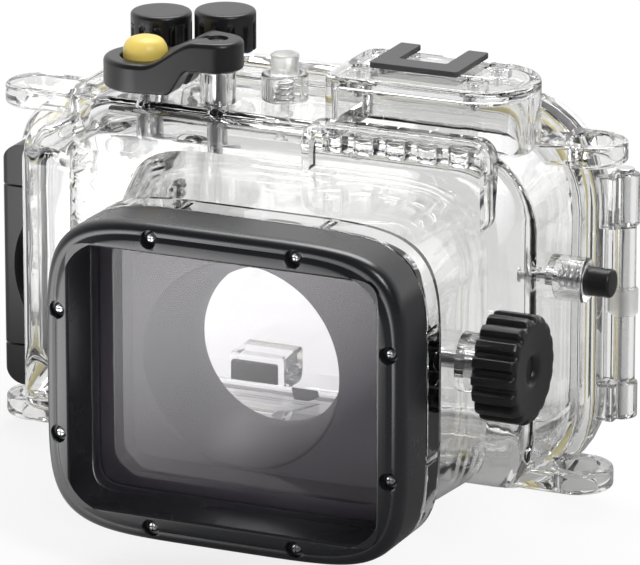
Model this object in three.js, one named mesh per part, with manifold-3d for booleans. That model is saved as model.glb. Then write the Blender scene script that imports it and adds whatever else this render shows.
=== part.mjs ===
import * as THREE from 'three';
import { mergeVertices } from 'three/addons/utils/BufferGeometryUtils.js';
import Module from 'manifold-3d';

// Underwater camera housing, in millimetres. X runs to the viewer's right, Y to the back, Z up.
// The origin is the middle of the flat foot that the housing rests on, under the lens axis.
const wasm = await Module();
wasm.setup();

// Driving sizes shared by several pieces
const fit = 0.3;
const overrun = 2;
const weldShare = 1e-4;
const fine = 28;
const round = 18;
const small = 9;
const arcSteps = 5;
const seamY = 20;
const lensX = 0.5;
const lensZ = 42.4;

// Body: a rounded tub with its open side on the seam
const body = {
  left: -77.5, right: 47.4, low: 4, high: 82.4, corner: 18, cornerLow: 17, cornerLeft: 9, wall: 3.6,
  front: -13, gripFront: 3, gripEnd: -60, gripSlope: 5, gripEdge: 9, edge: 8,
  slopeX: -52, slopeZ: 66, slopeRound: 12,
  lowBack: 14, lowRise: 22, topRound: 5,
};
const rim = { out: 4, depth: 5 };
const grip = { x: -69.4, y: 5, radius: 5.9, low: 8, high: 65.9, dome: 3 };
const foot = {
  halfX: 13, back: 17, front: -18, top: 14, radius: 4, socketY: 8, socketRadius: 3.2, socketDepth: 5.5,
};

// Port: a tapered tube from the body's front wall to the window's flange
const port = {
  rootLeft: -43, rootRight: 39, rootLow: 7.4, rootHigh: 74.9, rootBulge: 6,
  midX: 4.5, midZ: 42.45, neckY: -47, neckIn: 2.4, bulge: 5.2, wall: 3,
};
const bezel = {
  front: -68, halfX: 39.4, halfZ: 33.5, faceIn: 0.85, openInX: 5.7, openInZ: 5.95, seat: 1.25, seal: 1.7,
  shoulder: 2.2, openBulge: 16,
};
const flange = { front: -56, back: -48, halfX: bezel.halfX, halfZ: bezel.halfZ, ledge: -52.1 };
const shoulderShares = [[0, 0], [0.3, 0.6], [1, 1]];
const open = { halfX: bezel.halfX - bezel.openInX, halfZ: bezel.halfZ - bezel.openInZ };
const pane = { front: -57.5, back: -54, halfX: open.halfX + bezel.seat, halfZ: open.halfZ + bezel.seat };
const gasket = { back: -52.2, halfX: pane.halfX - bezel.seal, halfZ: pane.halfZ - bezel.seal };
const shade = {
  lipFront: -53.7, lipBack: -52.4, boxIn: 1.8, taperIn: 1.5, panel: -47, wall: 1.4, mouth: 21.6, throat: 17.2,
  coneBack: -35, back: -29,
};
const shadeLip = { halfX: gasket.halfX - fit, halfZ: gasket.halfZ - fit };
const shadeBox = { halfX: shadeLip.halfX - shade.boxIn, halfZ: shadeLip.halfZ - shade.boxIn };
const shadePanel = { halfX: shadeBox.halfX - shade.taperIn, halfZ: shadeBox.halfZ - shade.taperIn };
const bezelScrew = {
  headRadius: 1.55, headTall: 1.3, shank: 0.85, sink: 0.7, bore: 1.85, reach: 13.5, slot: 0.36, slotDeep: 0.6,
  rimIn: 3.15, topX: 15.8, sideZ: 13.1,
};

// Raised box over the flash and its hood on the front wall
const block = {
  left: -1, right: 41.6, front: -8, back: 17.4, high: 92.6, cornerLeft: 4, cornerRight: 11, wall: 2.4,
};
const blockScrew = {
  leftX: 4, rightX: 29.7, frontY: 1.7, backY: 13.9, head: 1.7, headTall: 1, shank: 0.9, reach: 2.8,
  boss: 2.9, bossLong: 4.2, slot: 0.4, slotDeep: 0.5,
};
const hood = {
  left: -1.5, right: 40.5, front: -16.4, low: 65.4, high: 85, wall: 2, corner: 4,
  teeth: 5, toothWide: 4.6, toothTall: 4.2,
};
const shoe = { left: 6.4, right: 26.2, front: 0.4, back: 17.2, arm: 4.6, bar: 5.2, thick: 1.3 };

// Strap lugs at the four corners
const lug = { thick: 4.6, y: 12.6, radius: 7.4, eye: 4.2, low: 4.4 };
const lugOut = { right: 1.6, rightHigh: 3.9 };
const lugs = {
  rightX: body.right + lugOut.right, rightHighX: body.right + lugOut.rightHigh, rightHighZ: 75.2,
  loopLeft: -82.6, loopRight: -59, loopZ: 73, loopHalfY: 7.2, slotLeft: -78.6, slotRight: -64.6,
  slotHalfY: 3.4, lowLeftX: -76, lowLeftZ: 3.4,
};

// Door at the back, its hinge on the right and its latch on the left
const cover = { inset: 3.2, trim: 0.4, back: 38, flange: 4.2, wall: 3, edge: 4 };
const seal = { inside: -0.8, wide: 1.5, deep: 2 };
const hingeOut = 7.6;
const hinge = {
  x: body.right + hingeOut, y: 22, knuckle: 3.1, barrel: 2.5, band: 3, pin: 1.1, lowEnd: 17.6,
  lowTop: 25.4, highLow: 59.4, highEnd: 70.5, bandLow: 40, bandHigh: 45.6, armThick: 3.4, pinHead: 1.9,
  pinHeadTall: 0.8,
};
const latch = {
  outer: -85.4, thick: 5.8, front: 13.6, back: 33.4, low: 8.4, seamLow: 17.7, seamHigh: 52.9, high: 62.5,
  corner: 5, seam: 0.5, room: 0.7, pivotX: -84.6, pivotY: 30.4, knuckle: 2.7, pin: 0.9, linkX: -83.6,
  linkY: 22, linkPin: 0.8, linkBack: 26,
  lugTall: 4.6, scoopRadius: 19.2, scoopWide: 3, scoopDeep: 4, webThick: 1.3, webFront: 23.7,
  webPlay: 1.1, frontRound: 1.4,
};

// Controls on the top, on the right and on the port
const shutter = {
  x: -43.3, y: -2, cap: 4.7, tall: 6.7, dome: 2.6, foot: 2, footTall: 1.6, plate: 3.2, plateThick: 1,
  plateRise: 2.9, stem: 1.2, reach: 9,
};
shutter.plateLow = body.high + shutter.plateRise;
shutter.footLow = shutter.plateLow + shutter.plateThick + fit;
shutter.low = shutter.footLow + shutter.footTall;
shutter.high = shutter.low + shutter.tall;
const domeShares = [[1, 1], [0.86, 0.45], [0.5, 0.1], [0, 0]];
const zoom = {
  x: -26.6, y: -2, hub: 5.4, end: 8.8, well: 5.1, rise: 13.7, hubTall: 6.3, endRise: 2.1, endDrop: 5.4,
  dish: 5, shaft: 1.6, boss: 3.7, bushGap: 0.5, reach: 13, fork: 7, forkThick: 1.6, forkHalf: 1.5,
};
zoom.hubHigh = body.high + zoom.rise;
zoom.hubLow = zoom.hubHigh - zoom.hubTall;
zoom.bossHigh = zoom.hubLow - zoom.bushGap;
zoom.low = body.high + zoom.endRise;
zoom.high = zoom.hubHigh - zoom.endDrop;
const zoomScrew = { head: 1.9, headTall: 1, shank: 0.8, reach: 4, sink: 0.6, slot: 0.45, slotDeep: 0.5 };
const dial = {
  radius: 6.5, tall: 8.6, flutes: 12, flute: 1.15, fluteTop: 2.4, edge: 0.8, shaft: 1.4, boss: 3.5, reach: 12,
  pointer: 1.1, pointerOut: 0.8, pointerTall: 6.8, inner: 4.2, innerThick: 1.6,
};
const modeDial = { x: -48.2, y: 16, rise: 12.9, angle: -0.5 };
const exposureDial = { x: -33.2, y: 15.8, rise: 14.9, angle: 1.4 };
for (const one of [modeDial, exposureDial]) one.high = body.high + one.rise;
const dials = [{ name: 'mode', ...modeDial }, { name: 'exposure', ...exposureDial }];
const power = { x: -15, y: 6, cap: 3, rise: 4.6, tall: 5.2, boss: 4.9, sink: 1, reach: 6.2 };
power.capLow = body.high + power.rise;
power.high = power.capLow + power.tall;
power.bossHigh = power.capLow + power.sink;
const sideKey = { y: 1.6, z: 53, cap: 3, tall: 6, boss: 4.7, bossTall: 7.8, sink: 0.6, reach: 6.2 };
const sideBossOut = body.right + sideKey.bossTall;
const sideCapIn = sideBossOut - sideKey.sink;
const sideCapOut = sideCapIn + sideKey.tall;
const spring = { wire: 0.24, coil: 1.95, curls: 4, steps: 8, sides: 5 };
const stem = { radius: 0.9, washer: 1.6, washerThick: 0.6 };
const pocket = { wall: 0.35, floor: 1.2 };
const ribShares = [[0, 1], [0.32, 1], [0.5, 0], [0.82, 0]];
const ring = {
  y: -28, z: 42.5, radius: 11.3, inner: 46, outer: 55.6, ribs: 18, rib: 0.75, edge: 1.5, dent: 3,
  dentDeep: 1.6, shaft: 1.8, boss: 6.2, bossIn: 30, bossOut: 45, wheel: 6, wheelIn: 25, wheelWide: 4.5,
  shaftIn: 24,
};

// Buttons and wheel on the door, seen from behind
const rear = {
  cap: 2.7, capTall: 2.6, stem: 1, boss: 3.5, bossTall: 1, travel: 1.5, reach: 8, guide: 9, padX: -60,
  padZ: 39, padRadius: 8.2, setCap: 2.4, rowX: -50, rowZ: 67, keyX: -66, keyZ: 20, keyStep: 12,
};
const wheel = { x: -66, z: 60, radius: 5.4, tall: 5, ribs: 16, rib: 0.5, shaft: 1.2, reach: 8, collar: 2.05 };
const rest = {
  left: -35.7, right: -24.9, low: 12, high: 17.4, face: 24, pad: 1.4, frame: 1.2,
  floorX: -15.2, floorWide: 3.6, floorFront: 13, floorBack: 19, floorHigh: 16.5,
};

const half = 1 / 2;
const group = new THREE.Group();

const looks = {
  clear: new THREE.MeshStandardMaterial({ color: 0xe9eeee, roughness: 0.08, metalness: 0 }),
  frost: new THREE.MeshStandardMaterial({ color: 0xf1f1ee, roughness: 0.4, metalness: 0 }),
  black: new THREE.MeshStandardMaterial({ color: 0x232427, roughness: 0.42, metalness: 0 }),
  shade: new THREE.MeshStandardMaterial({ color: 0x3a3538, roughness: 0.7, metalness: 0 }),
  glass: new THREE.MeshStandardMaterial({ color: 0x8f86a8, roughness: 0.05, metalness: 0 }),
  yellow: new THREE.MeshStandardMaterial({ color: 0xf4bd3c, roughness: 0.45, metalness: 0 }),
  grey: new THREE.MeshStandardMaterial({ color: 0x4a4a4c, roughness: 0.6, metalness: 0 }),
  steel: new THREE.MeshStandardMaterial({ color: 0xb9babc, roughness: 0.25, metalness: 1 }),
  rubber: new THREE.MeshStandardMaterial({ color: 0x2c2c2e, roughness: 0.8, metalness: 0 }),
  sealing: new THREE.MeshStandardMaterial({ color: 0xe3c965, roughness: 0.5, metalness: 0 }),
};

// Turns a closed three.js geometry into a solid for cutting and joining
function solid(geometry) {
  const bare = geometry.clone();
  bare.deleteAttribute('normal');
  bare.deleteAttribute('uv');
  const merged = mergeVertices(bare, weldShare);
  const index = merged.index.array;
  const kept = [];
  for (let i = 0; i < index.length; i += 3) {
    const [a, b, c] = [index[i], index[i + 1], index[i + 2]];
    if (a !== b && b !== c && c !== a) kept.push(a, b, c);
  }
  const mesh = new wasm.Mesh({
    numProp: 3,
    vertProperties: new Float32Array(merged.attributes.position.array),
    triVerts: new Uint32Array(kept),
  });
  return new wasm.Manifold(mesh);
}

const join = (...parts) => parts.reduce((whole, part) => whole.add(part));
const cut = (whole, ...parts) => parts.reduce((left, part) => left.subtract(part), whole);

// Adds one named piece to the model
function piece(name, shape, material) {
  const mesh = shape.getMesh();
  const geometry = new THREE.BufferGeometry();
  geometry.setAttribute('position', new THREE.BufferAttribute(new Float32Array(mesh.vertProperties), 3));
  geometry.setIndex(new THREE.BufferAttribute(new Uint32Array(mesh.triVerts), 1));
  geometry.computeVertexNormals();
  const node = new THREE.Mesh(geometry, material);
  node.name = name;
  group.add(node);
  return node;
}

// Extrusions of a flat outline along each axis
function extrude(shape, depth, detail) {
  return new THREE.ExtrudeGeometry(shape, { depth, bevelEnabled: false, curveSegments: detail });
}

function alongZ(shape, low, high, detail = arcSteps) {
  return solid(extrude(shape, high - low, detail).translate(0, 0, low));
}

// The outline's own x and y are the model's X and Z
function alongY(shape, front, back, detail = arcSteps) {
  return solid(extrude(shape, back - front, detail).rotateX(Math.PI / 2).translate(0, back, 0));
}

// The outline's own x and y are the model's Y and Z
function alongX(shape, left, right, detail = arcSteps) {
  const turn = new THREE.Matrix4().makeBasis(
    new THREE.Vector3(0, 1, 0), new THREE.Vector3(0, 0, 1), new THREE.Vector3(1, 0, 0));
  return solid(extrude(shape, right - left, detail).applyMatrix4(turn).translate(left, 0, 0));
}

// Outline through corners of [x, y, radius] taken anticlockwise, drawn in by the same amount on every side
function roundedPath(corners, draw = 0) {
  const sides = corners.map(([x, y], i) => {
    const [nextX, nextY] = corners[(i + 1) % corners.length];
    const angle = Math.atan2(nextY - y, nextX - x);
    const along = new THREE.Vector2(Math.cos(angle), Math.sin(angle));
    const inward = new THREE.Vector2(-along.y, along.x);
    return { angle, along, inward, start: new THREE.Vector2(x, y).addScaledVector(inward, draw) };
  });
  const shape = new THREE.Shape();
  corners.forEach(([, , radius], i) => {
    const before = sides[(i + sides.length - 1) % sides.length];
    const after = sides[i];
    const gap = after.start.clone().sub(before.start);
    const far = gap.dot(after.inward) / before.along.dot(after.inward);
    const rounding = Math.max(radius - draw, fit);
    const turn = Math.atan2(before.along.cross(after.along), before.along.dot(after.along));
    const centre = before.start.clone().addScaledVector(before.along, far - rounding * Math.tan(turn * half))
      .addScaledVector(before.inward, rounding);
    const from = before.angle - Math.PI * half;
    shape.absarc(centre.x, centre.y, rounding, from, from + turn, false);
  });
  return shape;
}

function roundedRect(left, right, low, high, corner) {
  const corners = [[left, low], [right, low], [right, high], [left, high]];
  return roundedPath(corners.map((one) => [...one, corner]));
}

// Front view of the body, drawn in by the same amount on every side, or out where that is negative
function bodyOutline(draw) {
  const { left, right, low, high, corner, cornerLow, cornerLeft, slopeX, slopeZ, slopeRound } = body;
  return roundedPath([[left, low, cornerLow], [right, low, corner], [right, high, corner],
    [slopeX, high, slopeRound], [left, slopeZ, cornerLeft]], draw);
}

function box(left, right, front, back, low, high) {
  const geometry = new THREE.BoxGeometry(right - left, back - front, high - low);
  geometry.translate((left + right) * half, (front + back) * half, (low + high) * half);
  return solid(geometry);
}

// Cylinders along each axis, the ends given as coordinates
function rodZ(radius, x, y, low, high, sides = round, topRadius = radius) {
  const geometry = new THREE.CylinderGeometry(topRadius, radius, high - low, sides);
  return solid(geometry.rotateX(Math.PI / 2).translate(x, y, (low + high) * half));
}

function rodX(radius, y, z, left, right, sides = round, endRadius = radius) {
  const geometry = new THREE.CylinderGeometry(endRadius, radius, right - left, sides);
  return solid(geometry.rotateZ(-Math.PI / 2).translate((left + right) * half, y, z));
}

function rodY(radius, x, z, front, back, sides = round, backRadius = radius) {
  const geometry = new THREE.CylinderGeometry(backRadius, radius, back - front, sides);
  return solid(geometry.translate(0, (front + back) * half, 0).translate(x, 0, z));
}

// A turned piece about a vertical axis, from points of radius and height
function turned(points, x, y, sides = round) {
  const profile = points.map(([radius, height]) => new THREE.Vector2(radius, height));
  return solid(new THREE.LatheGeometry(profile, sides).rotateX(Math.PI / 2).translate(x, y, 0));
}

// Points of the closed curve |x/a|^n + |z/b|^n = 1, anticlockwise seen from the front
function bulged(midX, midZ, halfX, halfZ, bulge, count = fine) {
  const points = [];
  const exponent = 2 / bulge;
  for (let i = 0; i < count; i += 1) {
    const turn = (i / count) * Math.PI * 2;
    const c = Math.cos(turn);
    const s = Math.sin(turn);
    points.push(new THREE.Vector2(
      midX + halfX * Math.sign(c) * Math.abs(c) ** exponent,
      midZ + halfZ * Math.sign(s) * Math.abs(s) ** exponent));
  }
  return points;
}

// Skins closed rings that stand one behind the other along Y, with a flat cap at each end
function lofted(rings) {
  const count = rings[0].points.length;
  const place = [];
  const faces = [];
  for (const { y, points } of rings) {
    for (const point of points) place.push(point.x, y, point.y);
  }
  for (let r = 0; r + 1 < rings.length; r += 1) {
    for (let i = 0; i < count; i += 1) {
      const next = (i + 1) % count;
      const [a, b] = [r * count + i, r * count + next];
      const [c, d] = [a + count, b + count];
      faces.push(a, c, d, a, d, b);
    }
  }
  const last = (rings.length - 1) * count;
  for (const [start, turnBack] of [[0, false], [last, true]]) {
    for (let i = 1; i + 1 < count; i += 1) {
      const pair = turnBack ? [start + i + 1, start + i] : [start + i, start + i + 1];
      faces.push(start, ...pair);
    }
  }
  const geometry = new THREE.BufferGeometry();
  geometry.setAttribute('position', new THREE.Float32BufferAttribute(place, 3));
  geometry.setIndex(faces);
  return solid(geometry);
}

// A ring of the port's family of outlines, grown from its middle
function portRing(y, halfX, halfZ, bulge = port.bulge) {
  return { y, points: bulged(port.midX, port.midZ, halfX, halfZ, bulge) };
}

// Plan outline of the tub, drawn in by the same amount on every side
function planOutline(draw) {
  const { left, right, front, gripFront, gripEnd, gripSlope, gripEdge, edge } = body;
  const shape = new THREE.Shape();
  const [x0, x1, y0, y1] = [left + draw, right - draw, front + draw, gripFront + draw];
  shape.moveTo(x0, seamY + overrun);
  shape.lineTo(x0, y1 + gripEdge);
  shape.quadraticCurveTo(x0, y1, x0 + gripEdge, y1);
  shape.lineTo(gripEnd + draw, y1);
  shape.lineTo(gripEnd + gripSlope + draw, y0);
  shape.lineTo(x1 - edge, y0);
  shape.quadraticCurveTo(x1, y0, x1, y0 + edge);
  shape.lineTo(x1, seamY + overrun);
  return shape;
}

// Side view of the tub: its lower front edge sweeps up to the front wall
function sideOutline(draw) {
  const { low, high, front, lowBack, lowRise, topRound } = body;
  const shape = new THREE.Shape();
  const [y0, z0, z1] = [front + draw, low + draw, high - draw];
  shape.moveTo(seamY + overrun, z0);
  shape.lineTo(seamY + overrun, z1);
  shape.lineTo(y0 + topRound, z1);
  shape.quadraticCurveTo(y0, z1, y0, z1 - topRound);
  shape.lineTo(y0, z0 + lowRise);
  shape.quadraticCurveTo(y0, z0, lowBack, z0);
  return shape;
}

function tub(draw) {
  const { left, right, low, high, front } = body;
  const long = alongY(bodyOutline(draw), front + draw, draw > 0 ? seamY + overrun : seamY);
  const plan = alongZ(planOutline(draw), low - overrun, high + overrun);
  return long.intersect(plan).intersect(alongX(sideOutline(draw), left - overrun, right + overrun));
}

// Port tube: root on the body's front wall, neck behind the flange
function portTube(draw, front, back) {
  const { rootLeft, rootRight, rootLow, rootHigh, rootBulge, neckY, neckIn } = port;
  const rootX = (rootLeft + rootRight) * half;
  const rootZ = (rootLow + rootHigh) * half;
  const root = bulged(rootX, rootZ, (rootRight - rootLeft) * half - draw, (rootHigh - rootLow) * half - draw,
    rootBulge);
  const inset = neckIn + draw;
  const neck = bulged(port.midX, port.midZ, flange.halfX - inset, flange.halfZ - inset, port.bulge);
  const at = (y) => {
    const share = (y - neckY) / (body.front - neckY);
    return { y, points: neck.map((point, i) => point.clone().lerp(root[i], share)) };
  };
  return lofted([at(front), at(back)]);
}

function blockOutline(draw) {
  const { left, right, front, back, cornerLeft, cornerRight } = block;
  return roundedPath([[left, front, cornerLeft], [right, front, cornerRight], [right, back, cornerRight],
    [left, back, cornerLeft]], draw);
}

// Flat hood with teeth over the flash, standing on the front wall
function flashHood() {
  const { left, right, front, low, high, wall, corner, teeth, toothWide, toothTall } = hood;
  const back = body.front + body.wall * half;
  const outer = alongY(roundedRect(left, right, low, high, corner), front, back);
  const inset = roundedRect(left + wall, right - wall, low - corner - wall, high - wall, corner - wall);
  const inner = alongY(inset, front - overrun, body.front);
  const parts = [cut(outer, inner)];
  const step = (right - left) / (teeth + 1);
  for (let i = 1; i <= teeth; i += 1) {
    const x = left + step * i;
    parts.push(box(x - toothWide * half, x + toothWide * half, front, back,
      high - wall - toothTall, high - wall * half));
  }
  return join(...parts);
}

// Lug with a round eye, its arm running into the body
function eyeLug(x, low, towards) {
  const { thick, y, radius, eye } = lug;
  const end = rodZ(radius, x, y, low, low + thick);
  const arm = box(Math.min(x, towards), Math.max(x, towards), y - radius, y + radius, low, low + thick);
  return cut(join(end, arm), rodZ(eye, x, y, low - overrun, low + thick + overrun));
}

// Lug with a long slot for a wide strap
function loopLug() {
  const { loopLeft, loopRight, loopZ, loopHalfY, slotLeft, slotRight, slotHalfY } = lugs;
  const flat = (left, right, halfY, low, high) =>
    alongZ(roundedRect(left, right, lug.y - halfY, lug.y + halfY, halfY - fit), low, high);
  return cut(flat(loopLeft, loopRight + loopHalfY, loopHalfY, loopZ, loopZ + lug.thick),
    flat(slotLeft, slotRight, slotHalfY, loopZ - overrun, loopZ + lug.thick + overrun));
}

// Hinge knuckle of the body with its arm to the rim
function bodyKnuckle(low, high) {
  const arm = box(body.right + rim.out - overrun, hinge.x, seamY - hinge.armThick, seamY, low, high);
  return join(rodZ(hinge.knuckle, hinge.x, hinge.y, low, high), arm);
}

// Places of the bezel's screws, two to each side
function screwPlaces() {
  const { rimIn, topX, sideZ } = bezelScrew;
  const [sideX, topZ] = [bezel.halfX - rimIn, bezel.halfZ - rimIn];
  const places = [];
  for (const s of [-1, 1]) {
    for (const t of [-1, 1]) {
      places.push([port.midX + s * topX, port.midZ + t * topZ]);
      places.push([port.midX + s * sideX, port.midZ + t * sideZ]);
    }
  }
  return places;
}

function blockScrewPlaces() {
  const { leftX, rightX, frontY, backY } = blockScrew;
  return [[leftX, frontY], [leftX, backY], [rightX, frontY], [rightX, backY]];
}

// Floor of the pocket that holds a button's spring, measured from the boss's outer end
const powerFloor = body.high - pocket.floor;
const sideFloor = body.right + pocket.floor;

const rimHigh = body.high + rim.out;
const capPocket = (button) => button.cap + pocket.wall;

// Flat on the rims of both halves that the latch lies in
function latchRoom() {
  return box(body.left - rim.out - overrun, latch.outer + latch.thick + latch.room,
    seamY - rim.depth - overrun, seamY + cover.flange + overrun, latch.low - fit * 2, latch.high + fit * 2);
}

function frontShell() {
  const deep = body.high - body.wall - overrun;
  const shell = join(
    tub(0),
    alongY(bodyOutline(-rim.out), seamY - rim.depth, seamY),
    turned([[0, grip.low], [grip.radius, grip.low], [grip.radius, grip.high - grip.dome],
      [grip.radius - grip.dome, grip.high], [0, grip.high]], grip.x, grip.y),
    alongZ(roundedRect(-foot.halfX, foot.halfX, foot.front, foot.back, foot.radius), 0, foot.top),
    portTube(0, flange.back - overrun, body.front + body.wall),
    lofted([flange.front, flange.back].map((y) => portRing(y, flange.halfX, flange.halfZ))),
    alongZ(blockOutline(0), body.high - body.wall, block.high),
    flashHood(),
    ...dials.map((one) => rodZ(dial.boss, one.x, one.y, deep, rimHigh)),
    rodX(sideKey.boss, sideKey.y, sideKey.z, body.right - body.wall, sideBossOut),
    rodX(ring.boss, ring.y, ring.z, port.rootRight - port.wall, ring.bossOut),
    eyeLug(lugs.rightX, lug.low, body.right - body.corner),
    eyeLug(lugs.rightHighX, lugs.rightHighZ, body.right - body.corner),
    eyeLug(lugs.lowLeftX, lugs.lowLeftZ, body.left + body.corner),
    loopLug(),
    bodyKnuckle(hinge.lowEnd, hinge.lowTop),
    bodyKnuckle(hinge.highLow, hinge.highEnd),
  );
  const hollow = join(
    tub(body.wall),
    portTube(port.wall, flange.ledge, body.front + body.wall + fit),
    alongZ(blockOutline(block.wall), body.high - body.wall - overrun, block.high - block.wall),
  );
  const mouth = lofted([portRing(flange.front - overrun, pane.halfX + fit, pane.halfZ + fit, bezel.openBulge),
    portRing(flange.ledge, pane.halfX + fit, pane.halfZ + fit, bezel.openBulge)]);
  const hole = lofted([
    portRing(flange.front - overrun, shadeBox.halfX + fit, shadeBox.halfZ + fit, bezel.openBulge),
    portRing(port.neckY + overrun, shadeBox.halfX + fit, shadeBox.halfZ + fit, bezel.openBulge)]);
  const screwBores = screwPlaces().map(([x, z]) =>
    rodY(bezelScrew.shank + fit, x, z, flange.front - overrun, flange.back - fit * 2, small));
  const blockPosts = blockScrewPlaces().map(([x, y]) =>
    rodZ(blockScrew.boss, x, y, block.high - blockScrew.bossLong, block.high - block.wall * half, small));
  const blockBores = blockScrewPlaces().map(([x, y]) => join(
    rodZ(blockScrew.shank + fit, x, y, block.high - blockScrew.bossLong - overrun, block.high + overrun,
      small),
    rodZ(blockScrew.head + fit, x, y, block.high - blockScrew.headTall, block.high + overrun, small)));
  const bores = [
    rodZ(zoom.shaft + fit, zoom.x, zoom.y, deep, body.high + overrun, small),
    rodZ(shutter.stem + fit, shutter.x, shutter.y, deep, body.high + overrun, small),
    rodZ(stem.radius + fit, power.x, power.y, deep, body.high + overrun, small),
    rodZ(capPocket(power), power.x, power.y, powerFloor, body.high + overrun),
    ...dials.map((one) => rodZ(dial.shaft + fit, one.x, one.y, deep, rimHigh + overrun, small)),
    rodX(stem.radius + fit, sideKey.y, sideKey.z, body.right - body.wall - overrun, sideBossOut, small),
    rodX(capPocket(sideKey), sideKey.y, sideKey.z, sideFloor, sideBossOut + overrun),
    rodX(ring.shaft + fit, ring.y, ring.z, ring.bossIn, ring.bossOut + overrun, small),
    rodZ(hinge.pin + fit, hinge.x, hinge.y, hinge.lowEnd - overrun, hinge.highEnd + overrun, small),
    rodZ(foot.socketRadius, 0, foot.socketY, -overrun, foot.socketDepth, small),
    latchRoom(),
  ];
  return cut(join(cut(shell, hollow, mouth, hole), ...blockPosts), ...screwBores, ...blockBores, ...bores);
}

// Clear bush that stands on the top around a control's shaft or cap
function topBush(one, radius, bore, low, high) {
  return cut(rodZ(radius, one.x, one.y, low, high),
    rodZ(bore, one.x, one.y, low - overrun, high + overrun));
}

// Rear door: a shallow tray with a flange, its barrel between the body's knuckles
function doorBarrel() {
  const { x, y, barrel, band, lowTop, highLow, bandLow, bandHigh, armThick } = hinge;
  const [low, high] = [lowTop + fit, highLow - fit];
  const face = seamY + fit;
  const armLeft = body.right + rim.out - overrun;
  return join(
    rodZ(barrel, x, y, low, high),
    rodZ(band, x, y, bandLow, bandHigh),
    box(armLeft, x, face, face + armThick * half, low, high),
    box(armLeft, x, face, face + armThick, bandLow, bandHigh),
  );
}

function latchLug(low, high) {
  const left = latch.pivotX;
  const right = body.left + cover.inset + body.cornerLeft;
  const arm = box(left, right, latch.pivotY - latch.knuckle, latch.pivotY + latch.knuckle, low, high);
  return join(rodZ(latch.knuckle, left, latch.pivotY, low, high, small), arm);
}

function rearPlaces() {
  const { padX, padZ, padRadius, rowX, rowZ, keyX, keyZ, keyStep } = rear;
  const pad = [['up', 0, 1], ['down', 0, -1], ['left', 1, 0], ['right', -1, 0]].map(([name, x, z]) =>
    ({ name: `pad_${name}_button`, x: padX + x * padRadius, z: padZ + z * padRadius, cap: rear.cap }));
  return [
    ...pad,
    { name: 'set_button', x: padX, z: padZ, cap: rear.setCap },
    { name: 'movie_button', x: rowX, z: rowZ, cap: rear.cap },
    { name: 'playback_button', x: keyX + keyStep, z: keyZ, cap: rear.cap },
    { name: 'menu_button', x: keyX, z: keyZ, cap: rear.cap },
  ];
}

function rearCover() {
  const { inset, back, flange: lip, wall, edge } = cover;
  const face = seamY + fit;
  const taper = (draw, front, behind, behindDraw) => lofted([
    { y: front, points: outlinePoints(draw) },
    { y: behind - edge, points: outlinePoints(draw) },
    { y: behind, points: outlinePoints(behindDraw) },
  ]);
  const shell = join(
    alongY(bodyOutline(cover.trim - rim.out), face, face + lip),
    taper(inset, face + lip - fit, back, inset + edge),
    doorBarrel(),
    latchLug(latch.seamLow - latch.seam - latch.lugTall, latch.seamLow - latch.seam),
    latchLug(latch.seamHigh + latch.seam, latch.seamHigh + latch.seam + latch.lugTall),
    ...rearPlaces().map((one) => rodY(rear.boss, one.x, one.z, back - wall, back + rear.bossTall, small)),
    rodY(rear.boss, wheel.x, wheel.z, back - wall, back + rear.bossTall, small),
  );
  const inner = join(
    alongY(bodyOutline(inset + wall), face - overrun, back - wall - edge),
    taper(inset + wall, face, back - wall, inset + wall + edge),
  );
  const [sealIn, sealOut] = [seal.inside, seal.inside + seal.wide];
  const groove = cut(alongY(bodyOutline(-sealOut - fit * half), face - overrun, face + seal.deep),
    alongY(bodyOutline(fit * half - sealIn), face - overrun * 2, face + seal.deep + overrun));
  const holder = box(rest.left - rest.frame, rest.right + rest.frame,
    rest.face + rest.pad, back - wall * half, rest.low - rest.frame, rest.high + rest.frame);
  const bores = [
    ...rearPlaces().map((one) =>
      rodY(rear.stem + fit, one.x, one.z, back - rear.guide, back + overrun * 2, small)),
    rodY(wheel.shaft + fit, wheel.x, wheel.z, back - rear.guide, back + overrun * 2, small),
    rodZ(hinge.pin + fit, hinge.x, hinge.y, hinge.lowTop - overrun, hinge.highLow + overrun, small),
    rodZ(latch.pin + fit * half, latch.pivotX, latch.pivotY, latch.low, latch.high, small),
    latchRoom(),
  ];
  return cut(join(cut(shell, inner, groove), holder), ...bores);
}

// The door tray's outline as points, so that it can be skinned
function outlinePoints(draw) {
  const points = bodyOutline(draw).getPoints(arcSteps);
  const kept = [];
  for (const point of points) {
    const last = kept[kept.length - 1];
    if (!last || last.distanceTo(point) > weldShare * overrun) kept.push(point);
  }
  if (kept[0].distanceTo(kept[kept.length - 1]) < weldShare * overrun) kept.pop();
  return kept;
}

function mainSeal() {
  const face = seamY + fit * half;
  return cut(alongY(bodyOutline(-seal.inside - seal.wide), face, seamY + seal.deep),
    alongY(bodyOutline(-seal.inside), face - overrun, seamY + seal.deep + overrun));
}

// Bezel: a bulging frame with an outward sloping skirt
function portBezel() {
  const { front, halfX, halfZ, faceIn, shoulder, openBulge } = bezel;
  const grow = (share) => [halfX - faceIn * (1 - share), halfZ - faceIn * (1 - share)];
  const rings = shoulderShares.map(([step, share]) => portRing(front + shoulder * step, ...grow(share)));
  rings.push(portRing(flange.front, halfX, halfZ));
  const ringAt = (y, one, out) => portRing(y, one.halfX + out, one.halfZ + out, openBulge);
  const opening = lofted([ringAt(front - overrun, open, 0), ringAt(flange.front + overrun, open, 0)]);
  const seat = lofted([pane.front - fit * half, flange.front + overrun].map((y) => ringAt(y, pane, fit)));
  const bores = screwPlaces().flatMap(([x, z]) => [
    rodY(bezelScrew.shank + fit, x, z, front - overrun, flange.front + overrun, small),
    rodY(bezelScrew.bore, x, z, front - overrun, front + bezelScrew.sink + bezelScrew.headTall, small),
  ]);
  return cut(lofted(rings), opening, seat, ...bores);
}

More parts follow.
